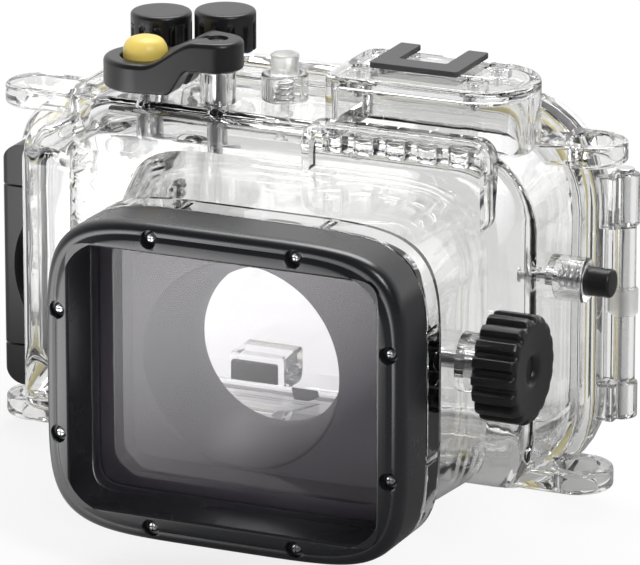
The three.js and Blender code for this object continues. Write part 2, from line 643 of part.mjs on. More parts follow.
// Screw with a cross recess in a domed head, pointing back along Y
function crossScrew(x, z) {
  const { headRadius: head, headTall, shank, sink, reach, slot, slotDeep } = bezelScrew;
  const top = bezel.front + sink;
  const seat = top + headTall - fit * half;
  const bar = join(
    rodY(head * half, x, z, top, top + headTall * half, small, head),
    rodY(head, x, z, top + headTall * half, seat, small),
    rodY(shank, x, z, seat - fit, top + reach, small),
  );
  const blade = [
    box(x - head * half, x + head * half, top - overrun, top + slotDeep, z - slot * half, z + slot * half),
    box(x - slot * half, x + slot * half, top - overrun, top + slotDeep, z - head * half, z + head * half),
  ];
  return cut(bar, ...blade);
}

// Small screw standing in the raised box, pointing down
function postScrew(x, y) {
  const { head, headTall, shank, reach, slot, slotDeep } = blockScrew;
  const top = block.high - fit;
  const bar = join(
    rodZ(head, x, y, top - headTall + fit * 2, top, small),
    rodZ(shank, x, y, top - headTall - reach, top - headTall + fit * 3, small),
  );
  return cut(bar, box(x - head, x + head, y - slot * half, y + slot * half, top - slotDeep, top + overrun));
}

function portPane() {
  return lofted([portRing(pane.front, pane.halfX, pane.halfZ, bezel.openBulge),
    portRing(pane.back, pane.halfX, pane.halfZ, bezel.openBulge)]);
}

function paneGasket() {
  const outer = lofted([portRing(pane.back, pane.halfX, pane.halfZ, bezel.openBulge),
    portRing(gasket.back, pane.halfX, pane.halfZ, bezel.openBulge)]);
  const inner = lofted([portRing(pane.back - overrun, gasket.halfX, gasket.halfZ, bezel.openBulge),
    portRing(gasket.back + overrun, gasket.halfX, gasket.halfZ, bezel.openBulge)]);
  return cut(outer, inner);
}

// Black shade: a box behind the window whose back panel leads into a cone towards the lens
function lensShade() {
  const s = shade;
  const ringAt = (y, one, draw) => portRing(y, one.halfX - draw, one.halfZ - draw, bezel.openBulge);
  const outer = join(
    lofted([ringAt(s.lipFront, shadeLip, 0), ringAt(s.lipBack, shadeLip, 0)]),
    lofted([ringAt(s.lipFront, shadeBox, 0), ringAt(s.panel, shadePanel, 0)]),
    rodY(s.mouth + s.wall, lensX, lensZ, s.panel - s.wall, s.coneBack, fine, s.throat + s.wall),
    rodY(s.throat + s.wall, lensX, lensZ, s.coneBack - fit, s.back, fine),
  );
  const inner = join(
    lofted([ringAt(s.lipFront - overrun, shadeBox, s.wall), ringAt(s.panel - s.wall, shadePanel, s.wall)]),
    rodY(s.mouth, lensX, lensZ, s.panel - s.wall - fit, s.coneBack, fine, s.throat),
    rodY(s.throat, lensX, lensZ, s.panel, s.back + overrun, fine),
  );
  return cut(outer, inner);
}

// Coil of round wire about a vertical axis, as one unbroken tube
function coil(low, high, radius = spring.coil) {
  const { wire, curls, steps, sides } = spring;
  const count = curls * steps;
  const place = [];
  const faces = [];
  const middle = [];
  const rise = high - low - wire * 2;
  for (let i = 0; i <= count; i += 1) {
    const share = i / count;
    const turn = share * curls * Math.PI * 2;
    const out = new THREE.Vector3(Math.cos(turn), Math.sin(turn), 0);
    const centre = out.clone().multiplyScalar(radius);
    centre.z = low + wire + rise * share;
    middle.push(centre);
    for (let k = 0; k < sides; k += 1) {
      const around = (k / sides) * Math.PI * 2;
      const point = centre.clone().addScaledVector(out, wire * Math.cos(around));
      point.z += wire * Math.sin(around);
      place.push(point.x, point.y, point.z);
    }
  }
  for (let i = 0; i < count; i += 1) {
    for (let k = 0; k < sides; k += 1) {
      const next = (k + 1) % sides;
      const [a, b] = [i * sides + k, i * sides + next];
      faces.push(a, a + sides, b, b, a + sides, b + sides);
    }
  }
  const last = count * sides;
  for (let k = 1; k + 1 < sides; k += 1) {
    faces.push(0, k, k + 1);
    faces.push(last, last + k + 1, last + k);
  }
  let least = Infinity;
  for (let i = 0; i < middle.length; i += 1) {
    for (let j = i + steps - 2; j < middle.length; j += 1) {
      least = Math.min(least, middle[i].distanceTo(middle[j]) - wire * 2);
    }
  }
  const ends = [low, high, least].map((value) => value.toFixed(2));
  console.log(`coil from ${ends[0]} to ${ends[1]}: least gap to itself ${ends[2]} mm`);
  const geometry = new THREE.BufferGeometry();
  geometry.setAttribute('position', new THREE.Float32BufferAttribute(place, 3));
  geometry.setIndex(faces);
  return solid(geometry);
}

// Fluted cap for a dial, smooth at the top
function dialCap(one) {
  const { radius, tall, flutes, flute, fluteTop, edge, pointer, pointerOut, pointerTall } = dial;
  const low = one.high - tall;
  const cap = turned([[0, low], [radius, low], [radius, one.high - edge], [radius - edge, one.high],
    [0, one.high]], one.x, one.y, fine);
  const grooves = [];
  for (let i = 0; i < flutes; i += 1) {
    const turn = (i / flutes) * Math.PI * 2 + one.angle + Math.PI / flutes;
    const out = radius + flute * half;
    const [x, y] = [one.x + out * Math.cos(turn), one.y + out * Math.sin(turn)];
    grooves.push(rodZ(flute, x, y, low - overrun, one.high - fluteTop, small));
  }
  const mark = solid(new THREE.BoxGeometry(radius, pointer * 2, pointerTall)
    .translate(radius * half + pointerOut, 0, low + pointerTall * half)
    .applyMatrix4(new THREE.Matrix4().makeRotationZ(one.angle)).translate(one.x, one.y, 0));
  const bore = rodZ(dial.shaft + fit * half, one.x, one.y, low - overrun, low + tall * half, small);
  return cut(join(cut(cap, ...grooves), mark), bore);
}

function dialShaft(one) {
  const low = body.high - dial.reach;
  const high = one.high - dial.tall * half - fit;
  return join(
    rodZ(dial.shaft, one.x, one.y, low, high, small),
    rodZ(dial.inner, one.x, one.y, low, low + dial.innerThick),
  );
}

function zoomLever() {
  const { x, y, hub, end, well, low, high, hubLow, hubHigh, dish } = zoom;
  const endX = shutter.x;
  const side = new THREE.Shape();
  side.moveTo(endX - end, low);
  side.lineTo(endX + end, low);
  side.quadraticCurveTo(x - hub, low + fit, x - zoom.boss - fit * 2, hubLow);
  side.lineTo(x + hub, hubLow);
  side.lineTo(x + hub, hubHigh);
  side.lineTo(x - hub * half, hubHigh);
  side.quadraticCurveTo(x - hub - dish * half, hubHigh - fit, endX + end * half, high + fit);
  side.quadraticCurveTo(endX, high - fit, endX - end, high);
  const sideView = alongY(side, y - end, y + end);
  const arm = new THREE.Shape();
  arm.moveTo(endX, y - end);
  arm.lineTo(x, y - hub);
  arm.lineTo(x, y + hub);
  arm.lineTo(endX, y + end);
  const plan = join(rodZ(end, endX, y, low - overrun, hubHigh + overrun, fine),
    rodZ(hub, x, y, low - overrun, hubHigh + overrun, fine), alongZ(arm, low - overrun, hubHigh + overrun));
  const cuts = [
    rodZ(well, endX, y, low - overrun, hubHigh + overrun, fine),
    rodZ(zoomScrew.head + fit, x, y, hubHigh - zoomScrew.sink - zoomScrew.headTall, hubHigh + overrun, small),
    rodZ(zoomScrew.shank + fit * half, x, y, hubLow, hubHigh, small),
    rodZ(zoom.shaft + fit * half, x, y, hubLow - overrun, hubLow + (hubHigh - hubLow) * half, small),
  ];
  return cut(sideView.intersect(plan), ...cuts);
}

function zoomShaft() {
  const { x, y, shaft, hubLow, hubHigh, reach, fork, forkThick, forkHalf } = zoom;
  const low = body.high - reach;
  const high = hubLow + (hubHigh - hubLow) * half - fit;
  const bar = join(
    rodZ(shaft, x, y, low, high, small),
    rodZ(forkHalf + fit, x, y, low, low + forkThick, small),
    box(x - fork, x, y - forkHalf, y + forkHalf, low, low + forkThick),
  );
  const bore = rodZ(zoomScrew.shank + fit * half, x, y, high - zoomScrew.reach, high + overrun, small);
  return cut(bar, bore);
}

function leverScrew() {
  const { head, headTall, shank, reach, sink, slot, slotDeep } = zoomScrew;
  const top = zoom.hubHigh - sink;
  const shape = join(
    rodZ(head, zoom.x, zoom.y, top - headTall + fit * half, top, small),
    rodZ(shank, zoom.x, zoom.y, top - headTall - reach, top - headTall + fit, small),
  );
  const cross = [[head * half, slot * half], [slot * half, head * half]].map(([a, b]) =>
    box(zoom.x - a, zoom.x + a, zoom.y - b, zoom.y + b, top - slotDeep, top + overrun));
  return cut(shape, ...cross);
}

// Yellow domed cap that slides in the lever's well, and the plunger it presses
function shutterButton() {
  const { x, y, cap, high, low, dome, foot: footRadius, footLow } = shutter;
  const crown = domeShares.map(([out, drop]) => [cap * out, high - dome * drop]);
  return turned([[0, footLow], [footRadius, footLow], [footRadius, low], [cap, low], ...crown], x, y);
}

function shutterPlunger() {
  const { x, y, plate, plateThick, plateLow, stem: radius, reach } = shutter;
  return join(
    rodZ(plate, x, y, plateLow, plateLow + plateThick),
    rodZ(radius, x, y, body.high - reach, plateLow + fit, small),
  );
}

// Pressed key along Z: a cap, a stem through the wall and a washer that keeps it in
function powerButton() {
  const { x, y, cap, capLow, high, reach } = power;
  const low = body.high - reach;
  return join(
    turned([[0, capLow], [cap, capLow], [cap, high - fit * 2], [cap - fit * 2, high], [0, high]], x, y),
    rodZ(stem.radius, x, y, low, capLow + fit, small),
    rodZ(stem.washer, x, y, low, low + stem.washerThick, small),
  );
}

function sideCap() {
  const { y, z, cap } = sideKey;
  const crown = join(
    rodX(cap, y, z, sideCapIn, sideCapOut - fit * 2),
    rodX(cap, y, z, sideCapOut - fit * 2, sideCapOut, round, cap - fit * 2),
  );
  const middle = (sideCapIn + sideCapOut) * half;
  return cut(crown, rodX(stem.radius + fit * half, y, z, sideCapIn - overrun, middle, small));
}

function sideStem() {
  const { y, z, reach } = sideKey;
  const left = body.right - reach;
  return join(
    rodX(stem.radius, y, z, left, (sideCapIn + sideCapOut) * half - fit, small),
    rodX(stem.washer, y, z, left, left + stem.washerThick, small),
  );
}

function layRight(shape, centreY, centreZ) {
  return shape.rotate([0, 90, 0]).translate([0, centreY, centreZ]);
}

// Ribbed knob on the port, and the rubber wheel it drives inside
function ringKnob() {
  const { y, z, radius, inner, outer, ribs, rib, edge, dent, dentDeep } = ring;
  const outline = new THREE.Shape();
  for (let i = 0; i < ribs; i += 1) {
    ribShares.forEach(([share, raised], k) => {
      const turn = ((i + share) / ribs) * Math.PI * 2;
      const r = radius - rib * (1 - raised);
      const [a, b] = [y + r * Math.cos(turn), z + r * Math.sin(turn)];
      if (i + k === 0) outline.moveTo(a, b);
      else outline.lineTo(a, b);
    });
  }
  const crown = join(
    rodX(radius + overrun, y, z, inner - overrun, outer - edge, fine),
    rodX(radius, y, z, outer - edge - fit, outer, fine, radius - edge),
  );
  return cut(alongX(outline, inner, outer).intersect(crown),
    rodX(dent, y, z, outer - dentDeep, outer + overrun),
    rodX(ring.shaft + fit * half, y, z, inner - overrun, (inner + outer) * half, small));
}

function ringShaft() {
  return rodX(ring.shaft, ring.y, ring.z, ring.shaftIn, (ring.inner + ring.outer) * half - fit, small);
}

function driveWheel() {
  const { y, z, wheel: radius, wheelIn, wheelWide, shaft } = ring;
  return cut(rodX(radius, y, z, wheelIn, wheelIn + wheelWide),
    rodX(shaft + fit * half, y, z, wheelIn - overrun, wheelIn + wheelWide + overrun, small));
}

function ribbedWheel() {
  const { x, z, radius, tall, ribs, rib, shaft } = wheel;
  const outline = new THREE.Shape();
  for (let i = 0; i < ribs * 4; i += 1) {
    const turn = (i / (ribs * 4)) * Math.PI * 2;
    const r = radius - (i % 4 < 2 ? 0 : rib);
    const [a, b] = [x + r * Math.cos(turn), z + r * Math.sin(turn)];
    if (i === 0) outline.moveTo(a, b);
    else outline.lineTo(a, b);
  }
  const front = cover.back + rear.bossTall + fit;
  return cut(alongY(outline, front, front + tall),
    rodY(shaft + fit * half, x, z, front - overrun, front + tall * half, small));
}

function wheelShaft() {
  const { x, z, shaft, tall, reach, collar } = wheel;
  const front = cover.back - reach;
  return join(
    rodY(shaft, x, z, front, cover.back + rear.bossTall + tall * half, small),
    rodY(collar, x, z, front, front + dial.innerThick, small),
  );
}

function rearButton(one) {
  const face = cover.back + rear.bossTall + rear.travel + fit;
  const front = cover.back - rear.reach;
  return join(
    rodY(one.cap, one.x, one.z, face, face + rear.capTall, small),
    rodY(rear.stem, one.x, one.z, front, face + fit, small),
    rodY(stem.washer, one.x, one.z, front, front + stem.washerThick, small),
  );
}

function leverOutline() {
  const { outer, thick, front, back, pivotX, pivotY, knuckle, frontRound } = latch;
  const shape = new THREE.Shape();
  const inner = outer + thick;
  shape.moveTo(outer + frontRound, front);
  shape.lineTo(inner, front);
  shape.lineTo(inner, back - knuckle);
  shape.lineTo(pivotX + knuckle * half, pivotY + knuckle * half);
  shape.lineTo(pivotX + fit, back);
  shape.lineTo(pivotX - fit, back);
  shape.lineTo(outer, back - knuckle);
  shape.lineTo(outer, front + frontRound);
  shape.quadraticCurveTo(outer, front, outer + frontRound, front);
  return shape;
}

function latchLever() {
  const { outer, thick, front, seamLow, seamHigh, pivotX, pivotY, pin, scoopRadius, scoopDeep, scoopWide,
    linkBack } = latch;
  const shape = alongZ(leverOutline(), seamLow, seamHigh);
  const inner = outer + thick;
  const scoop = rodY(scoopRadius, inner - scoopWide + scoopRadius, (seamLow + seamHigh) * half,
    front - overrun, front + scoopDeep, fine);
  const webRoom = box(inner - latch.webThick - fit, inner + overrun, latch.webFront - latch.webPlay,
    linkBack + fit, seamLow - overrun, seamHigh + overrun);
  return cut(shape, scoop, webRoom,
    rodZ(pin + fit * half, pivotX, pivotY, seamLow - overrun, seamHigh + overrun, small),
    rodZ(latch.linkPin + fit * half, latch.linkX, latch.linkY, seamLow - overrun, seamHigh + overrun, small));
}

// Frame that carries the claw: a block above and below the lever, joined by a thin web behind it
function latchLink() {
  const { outer, thick, front, low, seamLow, seamHigh, high, seam, linkX, linkY, linkPin, linkBack, corner,
    frontRound, webThick, webFront } = latch;
  const inner = outer + thick;
  const outline = new THREE.Shape();
  outline.moveTo(outer + frontRound, front);
  outline.lineTo(inner, front);
  outline.lineTo(inner, linkBack);
  outline.lineTo(outer, linkBack);
  outline.lineTo(outer, front + frontRound);
  outline.quadraticCurveTo(outer, front, outer + frontRound, front);
  const ends = cut(alongZ(outline, low, high),
    box(outer - overrun, inner + overrun, front - overrun, linkBack + overrun,
      seamLow - seam, seamHigh + seam));
  const roundEnds = alongY(roundedRect(outer, inner + corner * 2, low, high, corner), front, linkBack);
  const web = box(inner - webThick, inner, webFront, linkBack, seamLow - overrun, seamHigh + overrun);
  return cut(join(ends.intersect(roundEnds), web),
    rodZ(linkPin + fit * half, linkX, linkY, low - overrun, high + overrun, small));
}

function padFloor() {
  const { floorX, floorWide, floorFront, floorBack, floorHigh } = rest;
  const low = body.low + body.wall + fit;
  const shape = new THREE.Shape();
  shape.moveTo(floorFront, low);
  shape.lineTo(floorBack, low);
  shape.quadraticCurveTo(floorBack, floorHigh, floorFront, floorHigh);
  return alongX(shape, floorX - floorWide * half, floorX + floorWide * half);
}

function shoePlate() {
  const { left, right, front, back, arm, bar, thick } = shoe;
  const plate = box(left, right, front, back, block.high + fit, block.high + fit + thick);
  return cut(plate, box(left + arm, right - arm, front + bar, back + overrun, block.high - overrun,
    block.high + overrun * 2));
}

piece('front_shell', frontShell(), looks.clear);
piece('rear_cover', rearCover(), looks.clear);
piece('main_seal', mainSeal(), looks.sealing);
piece('port_bezel', portBezel(), looks.black);
piece('port_window', portPane(), looks.glass);
piece('window_seal', paneGasket(), looks.rubber);
piece('lens_shade', lensShade(), looks.shade);
screwPlaces().forEach(([x, z], i) => piece(`bezel_screw_${i + 1}`, crossScrew(x, z), looks.steel));
blockScrewPlaces().forEach(([x, y], i) => piece(`block_screw_${i + 1}`, postScrew(x, y), looks.steel));
piece('shoe_plate', shoePlate(), looks.grey);

piece('hinge_pin', join(
  rodZ(hinge.pin, hinge.x, hinge.y, hinge.lowEnd - fit, hinge.highEnd + fit, small),
  rodZ(hinge.pinHead, hinge.x, hinge.y, hinge.highEnd + fit, hinge.highEnd + fit + hinge.pinHeadTall, small),
), looks.steel);
piece('latch_lever', latchLever(), looks.black);
piece('latch_link', latchLink(), looks.black);
const lugLow = latch.seamLow - latch.seam - latch.lugTall;
const lugHigh = latch.seamHigh + latch.seam + latch.lugTall;
piece('latch_pin', rodZ(latch.pin, latch.pivotX, latch.pivotY, lugLow, lugHigh, small), looks.steel);
piece('link_pin', rodZ(latch.linkPin, latch.linkX, latch.linkY, latch.low + latch.corner * half,
  latch.high - latch.corner * half, small), looks.steel);

piece('zoom_lever', zoomLever(), looks.black);
piece('zoom_shaft', zoomShaft(), looks.steel);
piece('zoom_screw', leverScrew(), looks.steel);
piece('zoom_bush', topBush(zoom, zoom.boss, zoom.shaft + fit, body.high, zoom.bossHigh), looks.clear);
piece('shutter_button', shutterButton(), looks.yellow);
piece('shutter_plunger', shutterPlunger(), looks.steel);
for (const one of dials) {
  piece(`${one.name}_dial`, dialCap(one), looks.black);
  piece(`${one.name}_shaft`, dialShaft(one), looks.steel);
}
piece('exposure_bush', topBush(exposureDial, dial.boss, dial.shaft + fit, rimHigh,
  exposureDial.high - dial.tall - fit), looks.clear);
piece('power_button', powerButton(), looks.frost);
piece('power_bush', topBush(power, power.boss, capPocket(power), body.high, power.bossHigh), looks.clear);
piece('power_spring', coil(powerFloor + fit, power.capLow - fit).translate([power.x, power.y, 0]),
  looks.steel);

piece('side_button', sideCap(), looks.black);
piece('side_stem', sideStem(), looks.steel);
piece('side_spring', layRight(coil(sideFloor + fit, sideCapIn - fit), sideKey.y, sideKey.z), looks.steel);
piece('ring_knob', ringKnob(), looks.black);
piece('ring_shaft', ringShaft(), looks.steel);
piece('ring_wheel', driveWheel(), looks.rubber);

for (const one of rearPlaces()) piece(one.name, rearButton(one), looks.black);
piece('rear_wheel', ribbedWheel(), looks.black);
piece('rear_wheel_shaft', wheelShaft(), looks.steel);
piece('back_pad', box(rest.left, rest.right, rest.face, rest.face + rest.pad - fit * half,
  rest.low, rest.high), looks.rubber);
piece('floor_pad', padFloor(), looks.rubber);

export default group;
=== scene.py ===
import math

import bmesh
import bpy
import numpy as np
from mathutils import Matrix, Vector


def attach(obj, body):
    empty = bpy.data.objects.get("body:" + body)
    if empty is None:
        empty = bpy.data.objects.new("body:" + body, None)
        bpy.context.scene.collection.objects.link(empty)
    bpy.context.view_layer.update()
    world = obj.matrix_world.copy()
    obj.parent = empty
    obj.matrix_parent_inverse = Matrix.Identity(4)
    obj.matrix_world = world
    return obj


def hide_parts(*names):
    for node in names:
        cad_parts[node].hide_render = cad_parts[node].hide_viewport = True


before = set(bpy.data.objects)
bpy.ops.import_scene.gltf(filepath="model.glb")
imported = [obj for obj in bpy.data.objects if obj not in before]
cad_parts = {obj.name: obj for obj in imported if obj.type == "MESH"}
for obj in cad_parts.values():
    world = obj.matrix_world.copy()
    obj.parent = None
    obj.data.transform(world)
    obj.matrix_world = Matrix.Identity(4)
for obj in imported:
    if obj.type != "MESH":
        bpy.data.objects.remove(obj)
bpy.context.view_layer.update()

print("frame loaded:", len(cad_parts), "nodes")

mm = 0.001
fit = 0.3  # slack between pieces, in millimetres as every length below
over = 1.0  # how far a cutting tool passes the face that it opens
seamY = 20.0  # plane between the two halves
fullTurn = 2 * math.pi
rightAngle = math.pi / 2
ringCount = 216
scene = bpy.context.scene

# Lengths that several pieces share; a corner of an outline is its two places and its radius
body = dict(left=-77.5, right=47.4, low=4.0, high=82.4, front=-13.0, gripFront=3.0, gripStart=-55.0,
            gripEnd=-60.0, wall=3.6, edge=6.0, gripEdge=9.5, gripSide=-66.0, gripBlend=10.0, lowBack=14.0,
            lowRise=22.0, slopeX=-52.0, slopeZ=66.0, middle=(-15.0, 43.0), edgeShare=0.6,
            rim=4.0, rimDeep=5.0, rimStep=1.8, rimStepDeep=8.2, lugRoot=18.0, armRoot=2.0)
bodyCorners = np.array([
    [body["left"], body["low"], 17.0], [body["right"], body["low"], 18.0],
    [body["right"], body["high"], 18.0], [body["slopeX"], body["high"], 12.0],
    [body["left"], body["slopeZ"], 9.0]])
rimHigh = body["high"] + body["rim"]
port = dict(midX=4.5, midZ=42.45, bulge=5.2, neckY=-47.0, neckHalfX=37.0, neckHalfZ=31.1, wall=3.0,
            rootLeft=-43.0, rootRight=39.0, rootLow=7.4, rootHigh=74.9, rootBulge=6.0)
flange = dict(front=-56.0, back=-48.0, halfX=39.4, halfZ=33.5, ledge=-52.1, edge=0.7)


# Every shape is a grid of points, worked out as whole arrays; its faces are quads between neighbouring points
# of the rows and columns, and the columns close on themselves
def gridFaces(rows, cols, closeRows=False):
    r = np.arange(rows if closeRows else rows - 1)[:, None]
    c = np.arange(cols)[None, :]
    a = r * cols + c
    b = r * cols + (c + 1) % cols
    nextRow = ((r + 1) % rows) * cols
    return np.stack([a, b, nextRow + (c + 1) % cols, nextRow + c], -1).reshape(-1, 4)


# Object from points in millimetres, its doubles merged and its faces turned outwards
def meshObject(name, points, faces):
    mesh = bpy.data.meshes.new(name)
    mesh.from_pydata((np.asarray(points).reshape(-1, 3) * mm).tolist(), [], [list(f) for f in faces])
    work = bmesh.new()
    work.from_mesh(mesh)
    bmesh.ops.remove_doubles(work, verts=work.verts, dist=2e-6)
    bmesh.ops.dissolve_degenerate(work, dist=1e-6, edges=work.edges)
    bmesh.ops.recalc_face_normals(work, faces=work.faces)
    work.to_mesh(mesh)
    work.free()
    made = bpy.data.objects.new(name, mesh)
    scene.collection.objects.link(made)
    return made


# Skin over rows of points; each open end closes on the middle of its row
def skin(name, rows, closeRows=False):
    rows = np.asarray(rows, float)
    if not closeRows:
        ends = [np.repeat(rows[k].mean(0)[None], rows.shape[1], 0)[None] for k in (0, -1)]
        rows = np.concatenate([ends[0], rows, ends[1]])
    return meshObject(name, rows, gridFaces(rows.shape[0], rows.shape[1], closeRows))


# Puts flat points on a level along one axis: Z takes x and y, Y takes x and z, X takes y and z
def place(flat, level, axis):
    flat = np.asarray(flat, float)
    level = np.broadcast_to(level, flat.shape[:-1])
    order = {"Z": (flat[..., 0], flat[..., 1], level), "Y": (flat[..., 0], level, flat[..., 1]),
             "X": (level, flat[..., 0], flat[..., 1])}
    return np.stack(order[axis], -1)


# Spreads the points of a closed loop evenly along its length
def evenLoop(points, count):
    closed = np.vstack([points, points[:1]])
    along = np.concatenate([[0], np.cumsum(np.linalg.norm(np.diff(closed, axis=0), axis=1))])
    wanted = np.arange(count) / count * along[-1]
    return np.stack([np.interp(wanted, along, closed[:, k]) for k in range(closed.shape[1])], -1)


# Outline through rounded corners, drawn in by one amount: each corner is an arc that touches both moved sides
def cornerLoop(corners, draw=0.0, arcSteps=9, sideSteps=6, least=0.3):
    corners = np.asarray(corners, float)
    at, radius = corners[:, :2], corners[:, 2]
    ahead = np.roll(at, -1, 0) - at
    angle = np.arctan2(ahead[:, 1], ahead[:, 0])
    along = np.stack([np.cos(angle), np.sin(angle)], -1)
    inward = np.stack([-along[:, 1], along[:, 0]], -1)
    start = at + inward * draw
    lastAlong, lastInward, lastStart = (np.roll(v, 1, 0) for v in (along, inward, start))
    far = ((start - lastStart) * inward).sum(1) / (lastAlong * inward).sum(1)
    cross = lastAlong[:, 0] * along[:, 1] - lastAlong[:, 1] * along[:, 0]
    turn = np.arctan2(cross, (lastAlong * along).sum(1))
    rounding = np.maximum(radius - draw, least)
    centre = (lastStart + lastAlong * (far - rounding * np.tan(turn / 2))[:, None]
              + lastInward * rounding[:, None])
    share = np.linspace(0, 1, arcSteps + 1)[None, :]
    swept = (np.roll(angle, 1) - rightAngle)[:, None] + turn[:, None] * share
    arcs = centre[:, None] + rounding[:, None, None] * np.stack([np.cos(swept), np.sin(swept)], -1)
    gone = np.linspace(0, 1, sideSteps + 1)[1:-1][None, :, None]
    sides = arcs[:, -1:] * (1 - gone) + np.roll(arcs, -1, 0)[:, :1] * gone
    return np.concatenate([arcs, sides], 1).reshape(-1, 2)


def boxCorners(left, right, low, high, radius):
    return [[left, low, radius], [right, low, radius], [right, high, radius], [left, high, radius]]


# Rises from 0 at one place to 1 at another, level at both
def smooth(x, start, end):
    s = np.clip((x - start) / (end - start), 0, 1)
    return s * s * (3 - 2 * s)


# Rounded rectangle from |x/a|^n + |z/b|^n = 1, its points evenly spread
def bulgedLoop(halfX, halfZ, bulge, midX=port["midX"], midZ=port["midZ"], count=ringCount):
    t = np.linspace(0, fullTurn, 2880, endpoint=False)
    power = 2 / bulge
    x = halfX * np.sign(np.cos(t)) * np.abs(np.cos(t)) ** power
    z = halfZ * np.sign(np.sin(t)) * np.abs(np.sin(t)) ** power
    return evenLoop(np.stack([midX + x, midZ + z], -1), count)


def circleLoop(radius, midX, midZ, count=ringCount):
    t = np.arange(count) / count * fullTurn
    return np.stack([midX + radius * np.cos(t), midZ + radius * np.sin(t)], -1)


# Softens the corners of a line: each becomes a quadratic curve between points that lie reach away from it
def soften(points, reach, steps=4, closed=False):
    p = np.asarray(points, float)
    back, ahead = np.roll(p, 1, 0) - p, np.roll(p, -1, 0) - p
    backLong, aheadLong = (np.linalg.norm(v, axis=1, keepdims=True) + 1e-9 for v in (back, ahead))
    wanted = np.broadcast_to(reach, (len(p),)).astype(float)[:, None]
    near = np.minimum(wanted, np.minimum(backLong, aheadLong) * 0.48)
    start, end = p + back / backLong * near, p + ahead / aheadLong * near
    t = np.linspace(0, 1, steps + 1)[None, :, None]
    curve = (1 - t) ** 2 * start[:, None] + 2 * t * (1 - t) * p[:, None] + t * t * end[:, None]
    if not closed:
        curve[0], curve[-1] = p[0], p[-1]
    return curve.reshape(-1, p.shape[1])


# Solid between two levels with rounded rims: the outline is drawn in along a quarter circle at both ends
def slab(name, outline, low, high, axis="Z", edge=0.3, steps=4):
    t = np.linspace(0, rightAngle, steps + 1)
    draws = np.concatenate([edge * (1 - np.sin(t)), edge * (1 - np.cos(t))])
    levels = np.concatenate([low + edge * (1 - np.cos(t)), high - edge * (1 - np.sin(t))])
    return skin(name, [place(outline(d), level, axis) for d, level in zip(draws, levels)])


# Slab over a rounded rectangle
def boxSlab(name, left, right, front, back, radius, low, high, axis="Z", edge=0.3):
    corners = boxCorners(left, right, front, back, radius)
    return slab(name, lambda draw: cornerLoop(corners, draw), low, high, axis, edge)


# Prism of any flat outline, with one face at each end
def prism(name, outline, low, high, axis="Z"):
    outline = np.asarray(outline, float)
    count = len(outline)
    points = np.concatenate([place(outline, low, axis), place(outline, high, axis)])
    faces = gridFaces(2, count).tolist() + [list(range(count)), list(range(2 * count - 1, count - 1, -1))]
    return meshObject(name, points, faces)


def block(name, left, right, front, back, low, high):
    outline = [[left, front], [right, front], [right, back], [left, back]]
    return prism(name, outline, low, high)


# Turned solid: a line of (radius, height) carried round the axis at (a, b); a hollow one closes on itself
def turned(name, profile, a, b, axis="Z", count=48, hollow=False):
    profile = np.asarray(profile, float)
    t = np.arange(count) / count * fullTurn
    around = np.stack([np.cos(t), np.sin(t)], -1)
    flat = profile[:, :1, None] * around[None] + np.array([a, b])
    rows = place(flat, profile[:, 1:2], axis)
    return meshObject(name, rows, gridFaces(len(profile), count, hollow))


# Cylinder with rounded ends
def rod(name, radius, a, b, low, high, axis="Z", edge=0.25, count=36):
    profile = soften([[0, low], [radius, low], [radius, high], [0, high]], [0, edge, edge, 0])
    return turned(name, profile, a, b, axis, count)


def bore(radius, a, b, low, high, axis="Z"):
    return rod("bore", radius, a, b, low, high, axis)


def boss(radius, a, b, low, high, axis="Z", edge=0.5):
    return rod("boss", radius, a, b, low, high, axis, edge, 48)


# Tube along a line of points: a circle stands square to the line at every point
def tube(name, path, radius, count=12):
    path = np.asarray(path, float)
    along = np.gradient(path, axis=0)
    along /= np.linalg.norm(along, axis=1, keepdims=True)
    side = np.cross(along, [0.21, 0.33, 0.92])
    side /= np.linalg.norm(side, axis=1, keepdims=True)
    up = np.cross(side, along)
    t = np.arange(count) / count * fullTurn
    rows = (path[:, None] + radius * (np.cos(t)[None, :, None] * side[:, None]
            + np.sin(t)[None, :, None] * up[:, None]))
    return skin(name, rows)


# Takes the modifiers into the mesh
def settle(made):
    graph = bpy.context.evaluated_depsgraph_get()
    mesh = bpy.data.meshes.new_from_object(made.evaluated_get(graph))
    old = made.data
    made.modifiers.clear()
    made.data = mesh
    bpy.data.meshes.remove(old)
    return made


# Adds or takes away solids, then removes the tools
def cutOrJoin(made, tools, operation):
    for tool in tools:
        step = made.modifiers.new(operation, "BOOLEAN")
        step.operation, step.solver, step.object = operation, "MANIFOLD", tool
    settle(made)
    for tool in tools:
        mesh = tool.data
        bpy.data.objects.remove(tool)
        bpy.data.meshes.remove(mesh)
    return made


def joined(made, *tools):
    return cutOrJoin(made, tools, "UNION")


def carved(made, *tools):
    return cutOrJoin(made, tools, "DIFFERENCE")


# Rounds what edges are still sharp
def eased(made, width, segments=2, angle=38.0):
    ease = made.modifiers.new("ease", "BEVEL")
    ease.width, ease.segments, ease.limit_method = width * mm, segments, "ANGLE"
    ease.angle_limit = math.radians(angle)
    ease.use_clamp_overlap = True
    ease.miter_outer = "MITER_ARC"
    return settle(made)


# Smooth shading that keeps hard corners, with large flat faces kept flat
def shaded(made, angle=34.0, weighted=True):
    bpy.ops.object.select_all(action="DESELECT")
    made.select_set(True)
    bpy.context.view_layer.objects.active = made
    bpy.ops.object.shade_smooth_by_angle(angle=math.radians(angle))
    if weighted:
        even = made.modifiers.new("even", "WEIGHTED_NORMAL")
        even.keep_sharp = True
        settle(made)
    return made


pieceCount = 0


